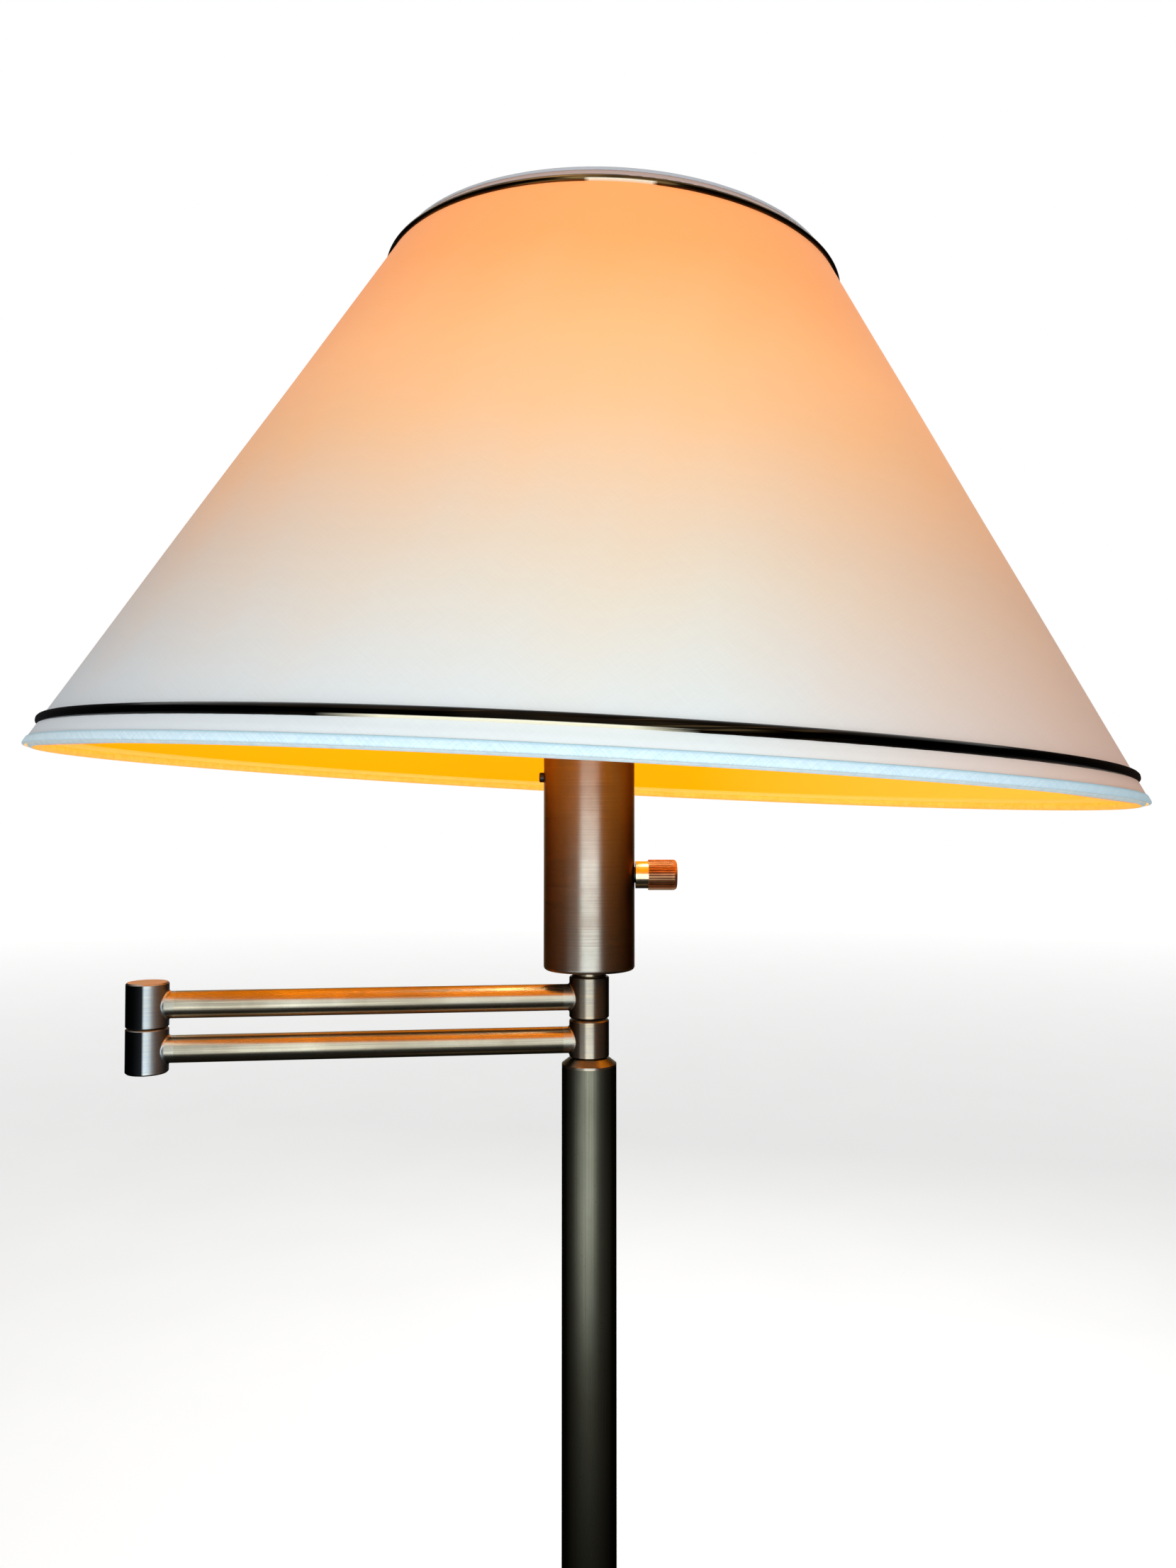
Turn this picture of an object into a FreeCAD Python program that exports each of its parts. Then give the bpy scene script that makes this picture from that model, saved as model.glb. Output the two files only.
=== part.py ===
import FreeCAD, Part
import math
import os
import Sketcher

# Swing arm floor lamp. A weighted round base carries a pole. Two arms of equal length fold over each
# other between the pole and the lamp head, and swivel on hollow pivots that let the wire through.
# Millimetres. Origin on the floor under the pole, +Z up. The arms run to -X, the knob points to +X.

Vector = FreeCAD.Vector

SIZES = {
    # Base: felt, cast weight and spun cover
    "felt_thickness": 2.0,
    "felt_margin": 3.0,
    "base_diameter": 270.0,
    "base_skirt_height": 15.0,
    "base_skirt_lift": 1.2,
    "base_shoulder": 7.0,
    "base_crown_diameter": 96.0,
    "base_crown_rise": 4.0,
    "base_crown_slope": 22.0,
    "cover_wall": 0.9,
    "cover_clearance": 0.2,
    "recess_diameter": 54.0,
    "recess_depth": 18.0,
    "groove_width": 10.0,
    "groove_depth": 10.4,
    "groove_overrun": 2.0,
    # Gland in the rear of the skirt
    "gland_height": 7.6,
    "gland_shank_diameter": 9.0,
    "gland_flange_diameter": 13.0,
    "gland_flange_thickness": 1.6,
    "gland_flange_round": 0.8,
    "gland_shank_length": 7.0,
    "gland_bore": 6.0,
    "gland_clearance": 0.1,
    # Nipple, washer and nut that tie the pole to the base
    "nipple_diameter": 10.0,
    "nipple_bore": 7.0,
    "nipple_length": 40.0,
    "nipple_end": 0.5,
    "thread_clearance": 0.02,
    "base_washer_diameter": 34.0,
    "base_washer_thickness": 2.0,
    "base_nut_flats": 17.0,
    "base_nut_height": 5.0,
    # Pole
    "pole_diameter": 24.0,
    "pole_wall": 1.2,
    "pole_length": 1024.0,
    "foot_plug_length": 22.0,
    "pole_fit": 0.05,
    "pole_cap_rim": 1.0,
    "pole_cap_cone": 2.5,
    "pole_cap_floor": 5.0,
    "pole_cap_spigot_length": 14.0,
    "pole_cap_spigot_wall": 2.6,
    # Knuckle barrels
    "barrel_diameter": 17.5,
    "barrel_chamfer": 0.4,
    "barrel_cavity_diameter": 13.5,
    "barrel_floor": 2.6,
    "foot_hub_floor_side": 7.3,
    "floor_side": 9.05,
    "hub_cap_side": 9.0,
    "elbow_cap_side": 9.6,
    "barrel_cap_head": 1.2,
    "barrel_cap_chamfer": 0.6,
    "barrel_cap_plug": 1.8,
    "barrel_cap_fit": 0.02,
    "neck_length": 3.0,
    "neck_fillet": 0.9,
    "spigot_length": 8.0,
    "wire_bore": 6.5,
    # Arms
    "arm_length": 187.0,
    "arm_pitch": 18.6,
    "arm_heading": 187.0,
    "arm_diameter": 11.5,
    "arm_wall": 0.8,
    "arm_fit": 0.05,
    # Pivots
    "pivot_diameter": 8.0,
    "pivot_bore": 5.6,
    "pivot_end": 0.3,
    "pivot_running_clearance": 0.05,
    "friction_washer_diameter": 15.0,
    "friction_washer_thickness": 0.5,
    "wave_washer_diameter": 12.4,
    "wave_washer_thickness": 0.4,
    "washer_clearance": 0.15,
    "pivot_nut_flats": 10.0,
    "pivot_nut_height": 1.9,
    "collar_diameter": 14.0,
    "collar_height": 2.5,
    # Wire inside the lamp
    "wire_diameter": 3.0,
    "wire_bend": 3.5,
    "wire_foot_bend": 7.0,
    # Socket housing
    "housing_diameter": 40.0,
    "housing_wall": 1.2,
    "housing_floor": 1.6,
    "housing_height": 96.0,
    "housing_edge": 1.6,
    # Dimmer and knob
    "knob_height": 41.4,
    "knob_diameter": 13.4,
    "knob_length": 18.2,
    "knob_collar_length": 5.6,
    "knob_collar_diameter": 12.0,
    "knob_gap": 0.4,
    "knob_end_round": 1.6,
    "knob_recess_diameter": 9.4,
    "knob_recess_depth": 2.4,
    "knurl_count": 36.0,
    "knurl_depth": 0.45,
    "shaft_diameter": 4.0,
    "shaft_clearance": 0.05,
    "shaft_inset": 6.0,
    "shaft_grip": 11.0,
    "dimmer_width": 20.0,
    "dimmer_height": 22.0,
    "dimmer_front": 13.0,
    "dimmer_rear": 8.0,
    "bushing_diameter": 7.0,
    "bushing_stand_out": 1.4,
    "bushing_clearance": 0.1,
    # Lamp holder
    "socket_base_height": 64.0,
    "socket_fit": 0.15,
    "socket_sleeve_diameter": 39.2,
    "socket_top": 116.0,
    "socket_floor": 22.0,
    "socket_bore": 28.6,
    "screw_shell_wall": 0.4,
    "screw_shell_fit": 0.05,
    "screw_shell_length": 26.0,
    "contact_diameter": 10.0,
    "contact_thickness": 1.2,
    "set_screw_diameter": 4.4,
    "set_screw_height": 84.3,
    "set_screw_stand_out": 2.0,
    "set_screw_chamfer": 0.4,
    "set_screw_clearance": 0.1,
    # Bulb
    "bulb_cap_diameter": 26.4,
    "bulb_cap_height": 23.0,
    "bulb_button_diameter": 9.0,
    "bulb_button_height": 2.0,
    "bulb_seat_gap": 0.1,
    "bulb_diameter": 60.0,
    "bulb_centre_height": 50.0,
    "bulb_neck_diameter": 25.6,
    "bulb_neck_length": 6.0,
    "bulb_wall": 0.9,
    # Rings that hold the shade
    "shade_ring_diameter": 50.0,
    "shade_ring_height": 5.0,
    "shade_ring_bore_clearance": 0.1,
    "shade_ring_gap": 4.4,
    "fitter_bore": 42.0,
    "fitter_diameter": 54.0,
    "fitter_thickness": 1.5,
    "fitter_height": 104.6,
    # Shade
    "shade_tilt": 3.04,
    "shade_bottom_radius": 225.0,
    "shade_top_radius": 94.5,
    "shade_height": 222.0,
    "shade_depth_below_fitter": 21.6,
    "shade_wall": 0.7,
    "shade_wire_diameter": 3.4,
    "spider_wire_diameter": 3.0,
    "spider_weld": 0.8,
    "hem_bottom_width": 2.4,
    "hem_top_width": 2.2,
    "hem_thickness": 0.35,
    "glue_gap": 0.03,
    "trim_bottom_offset": 8.3,
    "trim_bottom_width": 4.0,
    "trim_top_offset": 5.8,
    "trim_top_width": 2.8,
    "trim_height": 1.7,
}

document = FreeCAD.newDocument("swing_arm_floor_lamp")
sheet = document.addObject("Spreadsheet::Sheet", "Sizes")
for row, (alias, number) in enumerate(SIZES.items(), 1):
    sheet.set(f"A{row}", alias)
    sheet.set(f"B{row}", str(number))
    sheet.setAlias(f"B{row}", alias)
document.recompute()


class Size:
    """A length or angle together with the expression that ties it to the sheet."""

    def __init__(self, value, text):
        self.value = value
        self.text = text

    def joined(self, sign, other, value):
        return Size(value, f"({self.text} {sign} {size(other).text})")

    def __add__(self, other):
        return self.joined("+", other, self.value + size(other).value)

    def __sub__(self, other):
        return self.joined("-", other, self.value - size(other).value)

    def __mul__(self, other):
        return self.joined("*", other, self.value * size(other).value)

    def __truediv__(self, other):
        return self.joined("/", other, self.value / size(other).value)

    def __neg__(self):
        return Size(-self.value, f"(0 - {self.text})")

    def cosine(self):
        return Size(math.cos(math.radians(self.value)), f"cos({self.text})")

    def sine(self):
        return Size(math.sin(math.radians(self.value)), f"sin({self.text})")

    def root(self):
        return Size(math.sqrt(self.value), f"sqrt({self.text})")

    def angle_from(self, other):
        """The angle, in degrees, whose tangent is self over other."""
        return Size(math.degrees(math.atan2(self.value, other.value)), f"atan2({self.text}; {other.text})")


def size(item):
    """The Size of an alias in the sheet, or of a plain number."""
    if isinstance(item, Size):
        return item
    if isinstance(item, str):
        return Size(SIZES[item], f"Sizes.{item}")
    return Size(float(item), str(item))


ZERO = size(0)
QUARTER_TURN = size(90)
HALF_TURN = size(180)
FULL_TURN = 360
SAME = 1e-6
SPIDER_AZIMUTHS = (90, 210, 330)
subparts = []


def place(part, x=ZERO, y=ZERO, z=ZERO, axis=Vector(0, 0, 1), angle=ZERO):
    """Tie a sub-part's Placement to the sheet: a turn about axis, then a shift."""
    part.Placement = FreeCAD.Placement(
        Vector(x.value, y.value, z.value), FreeCAD.Rotation(axis, angle.value)
    )
    for key, item in (("Base.x", x), ("Base.y", y), ("Base.z", z)):
        if item is not ZERO:
            part.setExpression(f"Placement.{key}", item.text)
    if angle is not ZERO:
        part.setExpression("Placement.Rotation.Angle", angle.text)


def new_body(label, **placement):
    """An empty body that becomes one file."""
    body = document.addObject("PartDesign::Body", label)
    body.Label = label
    place(body, **placement)
    subparts.append(body)
    return body


def new_sketch(body, plane, name, offset=None):
    """A sketch on one of the body's own origin planes, lifted off it by offset."""
    sketch = body.newObject("Sketcher::SketchObject", name)
    support = [feature for feature in body.Origin.OriginFeatures if feature.Role == plane]
    sketch.AttachmentSupport = [(support[0], "")]
    sketch.MapMode = "FlatFace"
    if offset is not None:
        sketch.AttachmentOffset = FreeCAD.Placement(Vector(0, 0, offset.value), FreeCAD.Rotation())
        sketch.setExpression("AttachmentOffset.Base.z", offset.text)
    return sketch


def hold_point(sketch, geometry, position, x, y):
    """Fix one point of a sketch at a distance from the sketch's origin."""
    for kind, item, line in (("DistanceX", x, -2), ("DistanceY", y, -1)):
        if item.value == 0:
            sketch.addConstraint(Sketcher.Constraint("PointOnObject", geometry, position, line))
            continue
        distance = Sketcher.Constraint(kind, -1, 1, geometry, position, item.value)
        index = sketch.addConstraint(distance)
        sketch.setExpression(f"Constraints[{index}]", item.text)


def arc_between(start, end, radius, turn):
    """The arc of a radius from start to end. Turn 1 runs anticlockwise, -1 clockwise."""
    chord = end - start
    middle = (start + end) * 0.5
    height = math.sqrt(max(radius ** 2 - (chord.Length / 2) ** 2, 0))
    side = Vector(-chord.y, chord.x, 0).normalize()
    centre = middle + side * height * turn
    first = math.atan2(start.y - centre.y, start.x - centre.x)
    last = math.atan2(end.y - centre.y, end.x - centre.x)
    if turn < 0:
        first, last = last, first
    return Part.ArcOfCircle(Part.Circle(centre, Vector(0, 0, 1), radius), first, last)


def draw(sketch, outline, closed=True):
    """Draw an outline of (x, y) points. A point with (radius, turn) after it starts an arc."""
    points = [(size(item[0]), size(item[1])) for item in outline]
    spans = len(points) if closed else len(points) - 1
    starts = []
    ends = []
    for index in range(spans):
        after = (index + 1) % len(points)
        start = Vector(points[index][0].value, points[index][1].value, 0)
        end = Vector(points[after][0].value, points[after][1].value, 0)
        if len(outline[index]) == 2:
            sketch.addGeometry(Part.LineSegment(start, end))
            starts.append(1)
            ends.append(2)
            continue
        radius, turn = outline[index][2]
        sketch.addGeometry(arc_between(start, end, size(radius).value, turn))
        starts.append(1 if turn > 0 else 2)
        ends.append(2 if turn > 0 else 1)
    for index in range(len(points) if closed else spans - 1):
        after = (index + 1) % spans
        joint = Sketcher.Constraint("Coincident", index, ends[index], after, starts[after])
        sketch.addConstraint(joint)
    for index, (x, y) in enumerate(points):
        if index < spans:
            hold_point(sketch, index, starts[index], x, y)
        else:
            hold_point(sketch, spans - 1, ends[-1], x, y)
    for index in range(spans):
        if len(outline[index]) == 3:
            radius = size(outline[index][2][0])
            number = sketch.addConstraint(Sketcher.Constraint("Radius", index, radius.value))
            sketch.setExpression(f"Constraints[{number}]", radius.text)


def draw_circle(sketch, diameter, x=ZERO, y=ZERO):
    """A circle of a diameter at a point of the sketch."""
    radius = size(diameter) / 2
    centre = Vector(x.value, y.value, 0)
    sketch.addGeometry(Part.Circle(centre, Vector(0, 0, 1), radius.value))
    if x.value == 0 and y.value == 0:
        sketch.addConstraint(Sketcher.Constraint("Coincident", 0, 3, -1, 1))
    else:
        hold_point(sketch, 0, 3, x, y)
    index = sketch.addConstraint(Sketcher.Constraint("Radius", 0, radius.value))
    sketch.setExpression(f"Constraints[{index}]", radius.text)


def turn(body, outline, kind="PartDesign::Revolution", name="turned"):
    """Revolve an outline of (radius, height) points about the body's own Z axis."""
    sketch = new_sketch(body, "XZ_Plane", f"{name}_profile")
    draw(sketch, outline)
    feature = body.newObject(kind, name)
    feature.Profile = sketch
    feature.ReferenceAxis = (sketch, ["V_Axis"])
    feature.Angle = FULL_TURN
    return feature


def turned_part(label, outline, **placement):
    """A body that is one revolved outline."""
    body = new_body(label, **placement)
    turn(body, outline)
    return body


def ring(label, outer, inner, height, **placement):
    """A flat ring from z 0 up to its height."""
    outer = size(outer) / 2
    inner = size(inner) / 2
    height = size(height)
    return turned_part(label, [(inner, 0), (outer, 0), (outer, height), (inner, height)], **placement)


def extrude(body, sketch, length, kind="PartDesign::Pad", reverse=False, name="extruded"):
    """Pad or pocket a sketch by a length."""
    feature = body.newObject(kind, name)
    feature.Profile = sketch
    feature.Length = length.value
    feature.setExpression("Length", length.text)
    feature.Reversed = reverse
    return feature


def cut_checked(body, sketch, length, reverse, name):
    """Pocket a sketch and make sure that it takes material away."""
    document.recompute()
    before = body.Shape.Volume
    feature = extrude(body, sketch, length, "PartDesign::Pocket", reverse, name)
    document.recompute()
    if not body.Shape.Volume < before:
        raise RuntimeError(f"{body.Label}: {name} cuts nothing")
    return feature


def names_of(shape, wanted):
    """The names of the edges for which wanted(edge) holds."""
    return [f"Edge{number}" for number, edge in enumerate(shape.Edges, 1) if wanted(edge)]


def circle_at(radius, height):
    """A test for the full circle of a radius about Z at a height."""

    def wanted(edge):
        circle = edge.Curve
        if not isinstance(circle, Part.Circle):
            return False
        on_axis = math.hypot(circle.Center.x, circle.Center.y) < SAME
        same_radius = abs(circle.Radius - radius.value) < SAME
        return on_axis and same_radius and abs(circle.Center.z - height.value) < SAME

    return wanted


def dress(body, kind, amount, wanted):
    """Fillet or chamfer the edges of a body that pass a test."""
    document.recompute()
    base = body.Tip
    edges = names_of(base.Shape, wanted)
    if not edges:
        raise RuntimeError(f"{body.Label}: no edge to dress")
    feature = body.newObject(kind, "dressed")
    feature.Base = (base, edges)
    key = "Radius" if kind == "PartDesign::Fillet" else "Size"
    amount = size(amount)
    setattr(feature, key, amount.value)
    feature.setExpression(key, amount.text)
    document.recompute()
    return feature


def primitive(kind, name, **sizes):
    """A Part primitive whose properties are tied to the sheet."""
    solid = document.addObject(kind, name)
    for key, item in sizes.items():
        setattr(solid, key, size(item).value)
        solid.setExpression(key, size(item).text)
    return solid


def hexagon_nut(name, flats, height, bore, z=ZERO):
    """A hexagon nut from height z upwards, about Z."""
    corner = size(flats) / Size(math.sqrt(3), "sqrt(3)")
    prism = primitive("Part::Prism", f"{name}_hexagon", Circumradius=corner, Height=height)
    prism.Polygon = 6
    hole = primitive("Part::Cylinder", f"{name}_hole", Radius=bore / 2, Height=height)
    place(prism, z=z)
    place(hole, z=z)
    nut = document.addObject("Part::Cut", name)
    nut.Base = prism
    nut.Tool = hole
    return nut


# Heights and places that several pieces share
nipple_hole = size("nipple_diameter") + size("thread_clearance") * 2
felt_top = size("felt_thickness")
skirt_bottom = size("base_skirt_lift")
shoulder_top = skirt_bottom + size("base_skirt_height") + size("base_shoulder")
crown_top = shoulder_top + size("base_crown_rise")
pole_bottom = crown_top
pole_top = pole_bottom + size("pole_length")
cap_top = pole_top + size("pole_cap_rim") + size("pole_cap_cone")
washer = size("friction_washer_thickness")
lower_axis = cap_top + washer + size("foot_hub_floor_side")
upper_axis = lower_axis + size("arm_pitch")
elbow_joint = lower_axis + size("floor_side")
head_joint = upper_axis + size("floor_side")
housing_bottom = head_joint + washer + size("collar_height")
fitter_centre = housing_bottom + size("fitter_height")
heading = size("arm_heading")
elbow_x = size("arm_length") * heading.cosine()
elbow_y = size("arm_length") * heading.sine()
toward_hub = heading + HALF_TURN
barrel_radius = size("barrel_diameter") / 2
neck_end = barrel_radius + size("neck_length")
pivot_hole = size("pivot_diameter") + size("thread_clearance") * 2
running_hole = size("pivot_diameter") + size("pivot_running_clearance") * 2
washer_hole = size("pivot_diameter") + size("washer_clearance") * 2
housing_inner = size("housing_diameter") / 2 - size("housing_wall")


# Base
cover_radius = size("base_diameter") / 2
crown_radius = size("base_crown_diameter") / 2
slope_foot = crown_radius + size("base_crown_slope")
skirt_top = skirt_bottom + size("base_skirt_height")
shoulder = size("base_shoulder")
wall = size("cover_wall")
gap = size("cover_clearance")


def felt_pad():
    """A felt disc that covers the whole underside."""
    radius = cover_radius - size("felt_margin")
    turned_part("felt_pad", [(0, 0), (radius, 0), (radius, felt_top), (0, felt_top)])


def base_weight():
    """A cast disc under the cover, with a recess for the nut and a groove for the wire."""
    radius = cover_radius - wall - gap
    inset = shoulder - wall - gap
    flat = shoulder_top - wall - gap
    body = new_body("base_weight")
    turn(body, [
        (nipple_hole / 2, felt_top + size("recess_depth")),
        (size("recess_diameter") / 2, felt_top + size("recess_depth")),
        (size("recess_diameter") / 2, felt_top),
        (radius, felt_top),
        (radius, skirt_top, (inset, 1)),
        (radius - inset, skirt_top + inset),
        (slope_foot, flat),
        (crown_radius, crown_top - wall),
        (nipple_hole / 2, crown_top - wall),
    ])
    half = size("groove_width") / 2
    start = size("recess_diameter") / 2 - size("groove_overrun")
    end = radius + size("groove_overrun")
    groove = new_sketch(body, "XY_Plane", "groove_outline", offset=felt_top)
    draw(groove, [(-half, start), (half, start), (half, end), (-half, end)])
    cut_checked(body, groove, size("groove_depth"), True, "groove")


def base_cover():
    """A spun shell: skirt, round shoulder, flat ring and a low crown under the pole."""
    outer = shoulder
    inner = shoulder - wall
    body = new_body("base_cover")
    turn(body, [
        (nipple_hole / 2, crown_top - wall),
        (crown_radius, crown_top - wall),
        (slope_foot, shoulder_top - wall),
        (cover_radius - shoulder, shoulder_top - wall, (inner, -1)),
        (cover_radius - wall, skirt_top),
        (cover_radius - wall, skirt_bottom),
        (cover_radius, skirt_bottom),
        (cover_radius, skirt_top, (outer, 1)),
        (cover_radius - shoulder, shoulder_top),
        (slope_foot, shoulder_top),
        (crown_radius, crown_top),
        (nipple_hole / 2, crown_top),
    ])
    hole = new_sketch(body, "XZ_Plane", "gland_hole_outline")
    draw_circle(hole, size("gland_shank_diameter") + size("gland_clearance") * 2, ZERO, size("gland_height"))
    cut_checked(body, hole, cover_radius + wall, False, "gland_hole")


def cord_gland():
    """The inlet for the supply cord, in the rear of the skirt."""
    flange = size("gland_flange_thickness")
    bore = size("gland_bore") / 2
    body = new_body(
        "cord_gland", y=cover_radius + flange, z=size("gland_height"), axis=Vector(1, 0, 0), angle=QUARTER_TURN
    )
    turn(body, [
        (bore, 0),
        (size("gland_flange_diameter") / 2, 0),
        (size("gland_flange_diameter") / 2, flange),
        (size("gland_shank_diameter") / 2, flange),
        (size("gland_shank_diameter") / 2, flange + size("gland_shank_length")),
        (bore, flange + size("gland_shank_length")),
    ])
    rim = circle_at(size("gland_flange_diameter") / 2, ZERO)
    dress(body, "PartDesign::Fillet", "gland_flange_round", rim)


def base_fastening():
    """A hollow nipple through the base, with a washer and a nut in the recess."""
    recess_top = felt_top + size("recess_depth")
    washer_bottom = recess_top - size("base_washer_thickness")
    nut_bottom = washer_bottom - size("base_nut_height")
    nipple_bottom = nut_bottom - size("nipple_end")
    ring("base_nipple", "nipple_diameter", "nipple_bore", "nipple_length", z=nipple_bottom)
    ring("base_washer", "base_washer_diameter", nipple_hole, "base_washer_thickness", z=washer_bottom)
    nut = hexagon_nut("base_nut", "base_nut_flats", "base_nut_height", nipple_hole, nut_bottom)
    nut.Label = "base_nut"
    subparts.append(nut)


# Pole
def pole():
    """The tube, the plug in its foot and the turned cap that closes its top."""
    inside = size("pole_diameter") / 2 - size("pole_wall")
    seat = inside - size("pole_fit")
    ring("pole_tube", "pole_diameter", inside * 2, "pole_length", z=pole_bottom)
    ring("pole_foot_plug", seat * 2, nipple_hole, "foot_plug_length", z=pole_bottom)
    floor = size("pole_cap_floor")
    lip = size("pole_cap_rim") + size("pole_cap_cone")
    spigot = lip + size("pole_cap_spigot_length")
    turned_part("pole_cap", [
        (pivot_hole / 2, 0),
        (barrel_radius, 0),
        (size("pole_diameter") / 2, -size("pole_cap_cone")),
        (size("pole_diameter") / 2, -lip),
        (seat, -lip),
        (seat, -spigot),
        (seat - size("pole_cap_spigot_wall"), -spigot),
        (seat - size("pole_cap_spigot_wall"), -floor),
        (pivot_hole / 2, -floor),
    ], z=cap_top)


# Knuckles: four castings of one form. Each has a floor on the side of its swivel, a cavity for the
# retaining nut, a cap on the other side and a neck that takes the arm tube.
def knuckle(label, side, floor_side, cap_side, **placement):
    """A casting about the arm's axis. Side is 1 where the floor is on top and -1 where it is below."""
    seat = size("barrel_cap_head")
    floor_face = size(floor_side) * side
    floor_inside = (size(floor_side) - size("barrel_floor")) * side
    mouth = (seat - size(cap_side)) * side
    tube_bore = size("arm_diameter") / 2 - size("arm_wall") - size("arm_fit")
    body = new_body(label, **placement)
    turn(body, [(0, mouth), (barrel_radius, mouth), (barrel_radius, floor_face), (0, floor_face)])
    neck = new_sketch(body, "YZ_Plane", "neck_outline")
    draw_circle(neck, "arm_diameter")
    extrude(body, neck, neck_end, name="neck")
    dress(body, "PartDesign::Fillet", "neck_fillet", lambda edge: isinstance(edge.Curve, Part.BSplineCurve))
    dress(body, "PartDesign::Chamfer", "barrel_chamfer", circle_at(barrel_radius, floor_face))
    spigot = new_sketch(body, "YZ_Plane", "spigot_outline", offset=neck_end)
    draw_circle(spigot, tube_bore * 2)
    extrude(body, spigot, size("spigot_length"), name="spigot")
    cavity = size("barrel_cavity_diameter") / 2
    turn(body, [
        (0, mouth),
        (cavity, mouth),
        (cavity, floor_inside),
        (running_hole / 2, floor_inside),
        (running_hole / 2, floor_face),
        (0, floor_face),
    ], "PartDesign::Groove", "cavity")
    bore = new_sketch(body, "YZ_Plane", "wire_bore_outline")
    draw_circle(bore, "wire_bore")
    cut_checked(body, bore, neck_end + size("spigot_length"), True, "wire_bore")


def knuckle_cap(label, side, cap_side, **placement):
    """A chamfered disc with a plug that closes the cavity of a knuckle."""
    head = size("barrel_cap_head")
    chamfer = size("barrel_cap_chamfer")
    plug = size("barrel_cavity_diameter") / 2 - size("barrel_cap_fit")
    outside = -size(cap_side) * side
    seat = (head - size(cap_side)) * side
    inside = (head + size("barrel_cap_plug") - size(cap_side)) * side
    shoulder_height = (chamfer - size(cap_side)) * side
    turned_part(label, [
        (0, outside),
        (barrel_radius - chamfer, outside),
        (barrel_radius, shoulder_height),
        (barrel_radius, seat),
        (plug, seat),
        (plug, inside),
        (0, inside),
    ], **placement)


def arm_tube(label, height):
    """A round tube pushed over the spigots of the knuckles at its two ends."""
    inner = size("arm_diameter") - size("arm_wall") * 2
    body = new_body(label, z=height, axis=Vector(0, 0, 1), angle=heading)
    for diameter, kind in (("arm_diameter", "PartDesign::Pad"), (inner, "PartDesign::Pocket")):
        sketch = new_sketch(body, "YZ_Plane", "section", offset=neck_end)
        draw_circle(sketch, diameter)
        extrude(body, sketch, size("arm_length") - neck_end * 2, kind, kind == "PartDesign::Pocket")
    return body


def pivot(name, joint, below, above, **centre):
    """A hollow pivot with a nut at each end. Below and above are what it clamps on each side."""
    reach = size("pivot_nut_height") + size("pivot_end")
    ring(
        f"{name}_pivot", "pivot_diameter", "pivot_bore", below + above + reach * 2,
        z=joint - below - reach, **centre,
    )
    low = hexagon_nut(
        f"{name}_low_nut", "pivot_nut_flats", "pivot_nut_height", pivot_hole, -below - size("pivot_nut_height")
    )
    high = hexagon_nut(f"{name}_high_nut", "pivot_nut_flats", "pivot_nut_height", pivot_hole, above)
    pair = document.addObject("Part::Compound", f"{name}_pivot_nuts")
    pair.Links = [low, high]
    pair.Label = f"{name}_pivot_nuts"
    place(pair, z=joint, **centre)
    subparts.append(pair)


def swivel_washers(name, joint, wave_bottom, **centre):
    """The friction washer between two knuckles and the wave washer under the retaining nut."""
    ring(
        f"{name}_friction_washer", "friction_washer_diameter", washer_hole, "friction_washer_thickness",
        z=joint, **centre,
    )
    ring(
        f"{name}_wave_washer", "wave_washer_diameter", washer_hole, "wave_washer_thickness",
        z=wave_bottom, **centre,
    )


wave = size("wave_washer_thickness")
barrel_floor = size("barrel_floor")


def swivel_at_pole():
    """The pivot stands in the pole cap, and the lower hub turns on it."""
    pivot("pole", cap_top, size("pole_cap_floor"), washer + barrel_floor + wave)
    swivel_washers("pole", cap_top, cap_top + washer + barrel_floor)


def swivel_at_elbow():
    """The pivot stands in the lower knuckle, and the upper knuckle turns on it."""
    elbow = {"x": elbow_x, "y": elbow_y}
    pivot("elbow", elbow_joint, barrel_floor, washer + barrel_floor + wave, **elbow)
    swivel_washers("elbow", elbow_joint, elbow_joint + washer + barrel_floor, **elbow)


def swivel_at_head():
    """The pivot hangs from the housing into the upper hub, below a turned collar."""
    over = washer + size("collar_height") + size("housing_floor")
    pivot("head", head_joint, barrel_floor + wave, over)
    swivel_washers("head", head_joint, head_joint - barrel_floor - wave)
    ring("neck_collar", "collar_diameter", pivot_hole, "collar_height", z=head_joint + washer)


def arms():
    """Both arms, folded over each other, with their knuckles and caps."""
    hub = {"axis": Vector(0, 0, 1), "angle": heading}
    elbow = {"axis": Vector(0, 0, 1), "angle": toward_hub, "x": elbow_x, "y": elbow_y}
    knuckle("lower_hub", -1, "foot_hub_floor_side", "hub_cap_side", z=lower_axis, **hub)
    knuckle_cap("lower_hub_cap", -1, "hub_cap_side", z=lower_axis, **hub)
    arm_tube("lower_arm_tube", lower_axis)
    knuckle("lower_elbow", 1, "floor_side", "elbow_cap_side", z=lower_axis, **elbow)
    knuckle_cap("lower_elbow_cap", 1, "elbow_cap_side", z=lower_axis, **elbow)
    knuckle("upper_elbow", -1, "floor_side", "elbow_cap_side", z=upper_axis, **elbow)
    knuckle_cap("upper_elbow_cap", -1, "elbow_cap_side", z=upper_axis, **elbow)
    arm_tube("upper_arm_tube", upper_axis)
    knuckle("upper_hub", 1, "floor_side", "hub_cap_side", z=upper_axis, **hub)
    knuckle_cap("upper_hub_cap", 1, "hub_cap_side", z=upper_axis, **hub)


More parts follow.
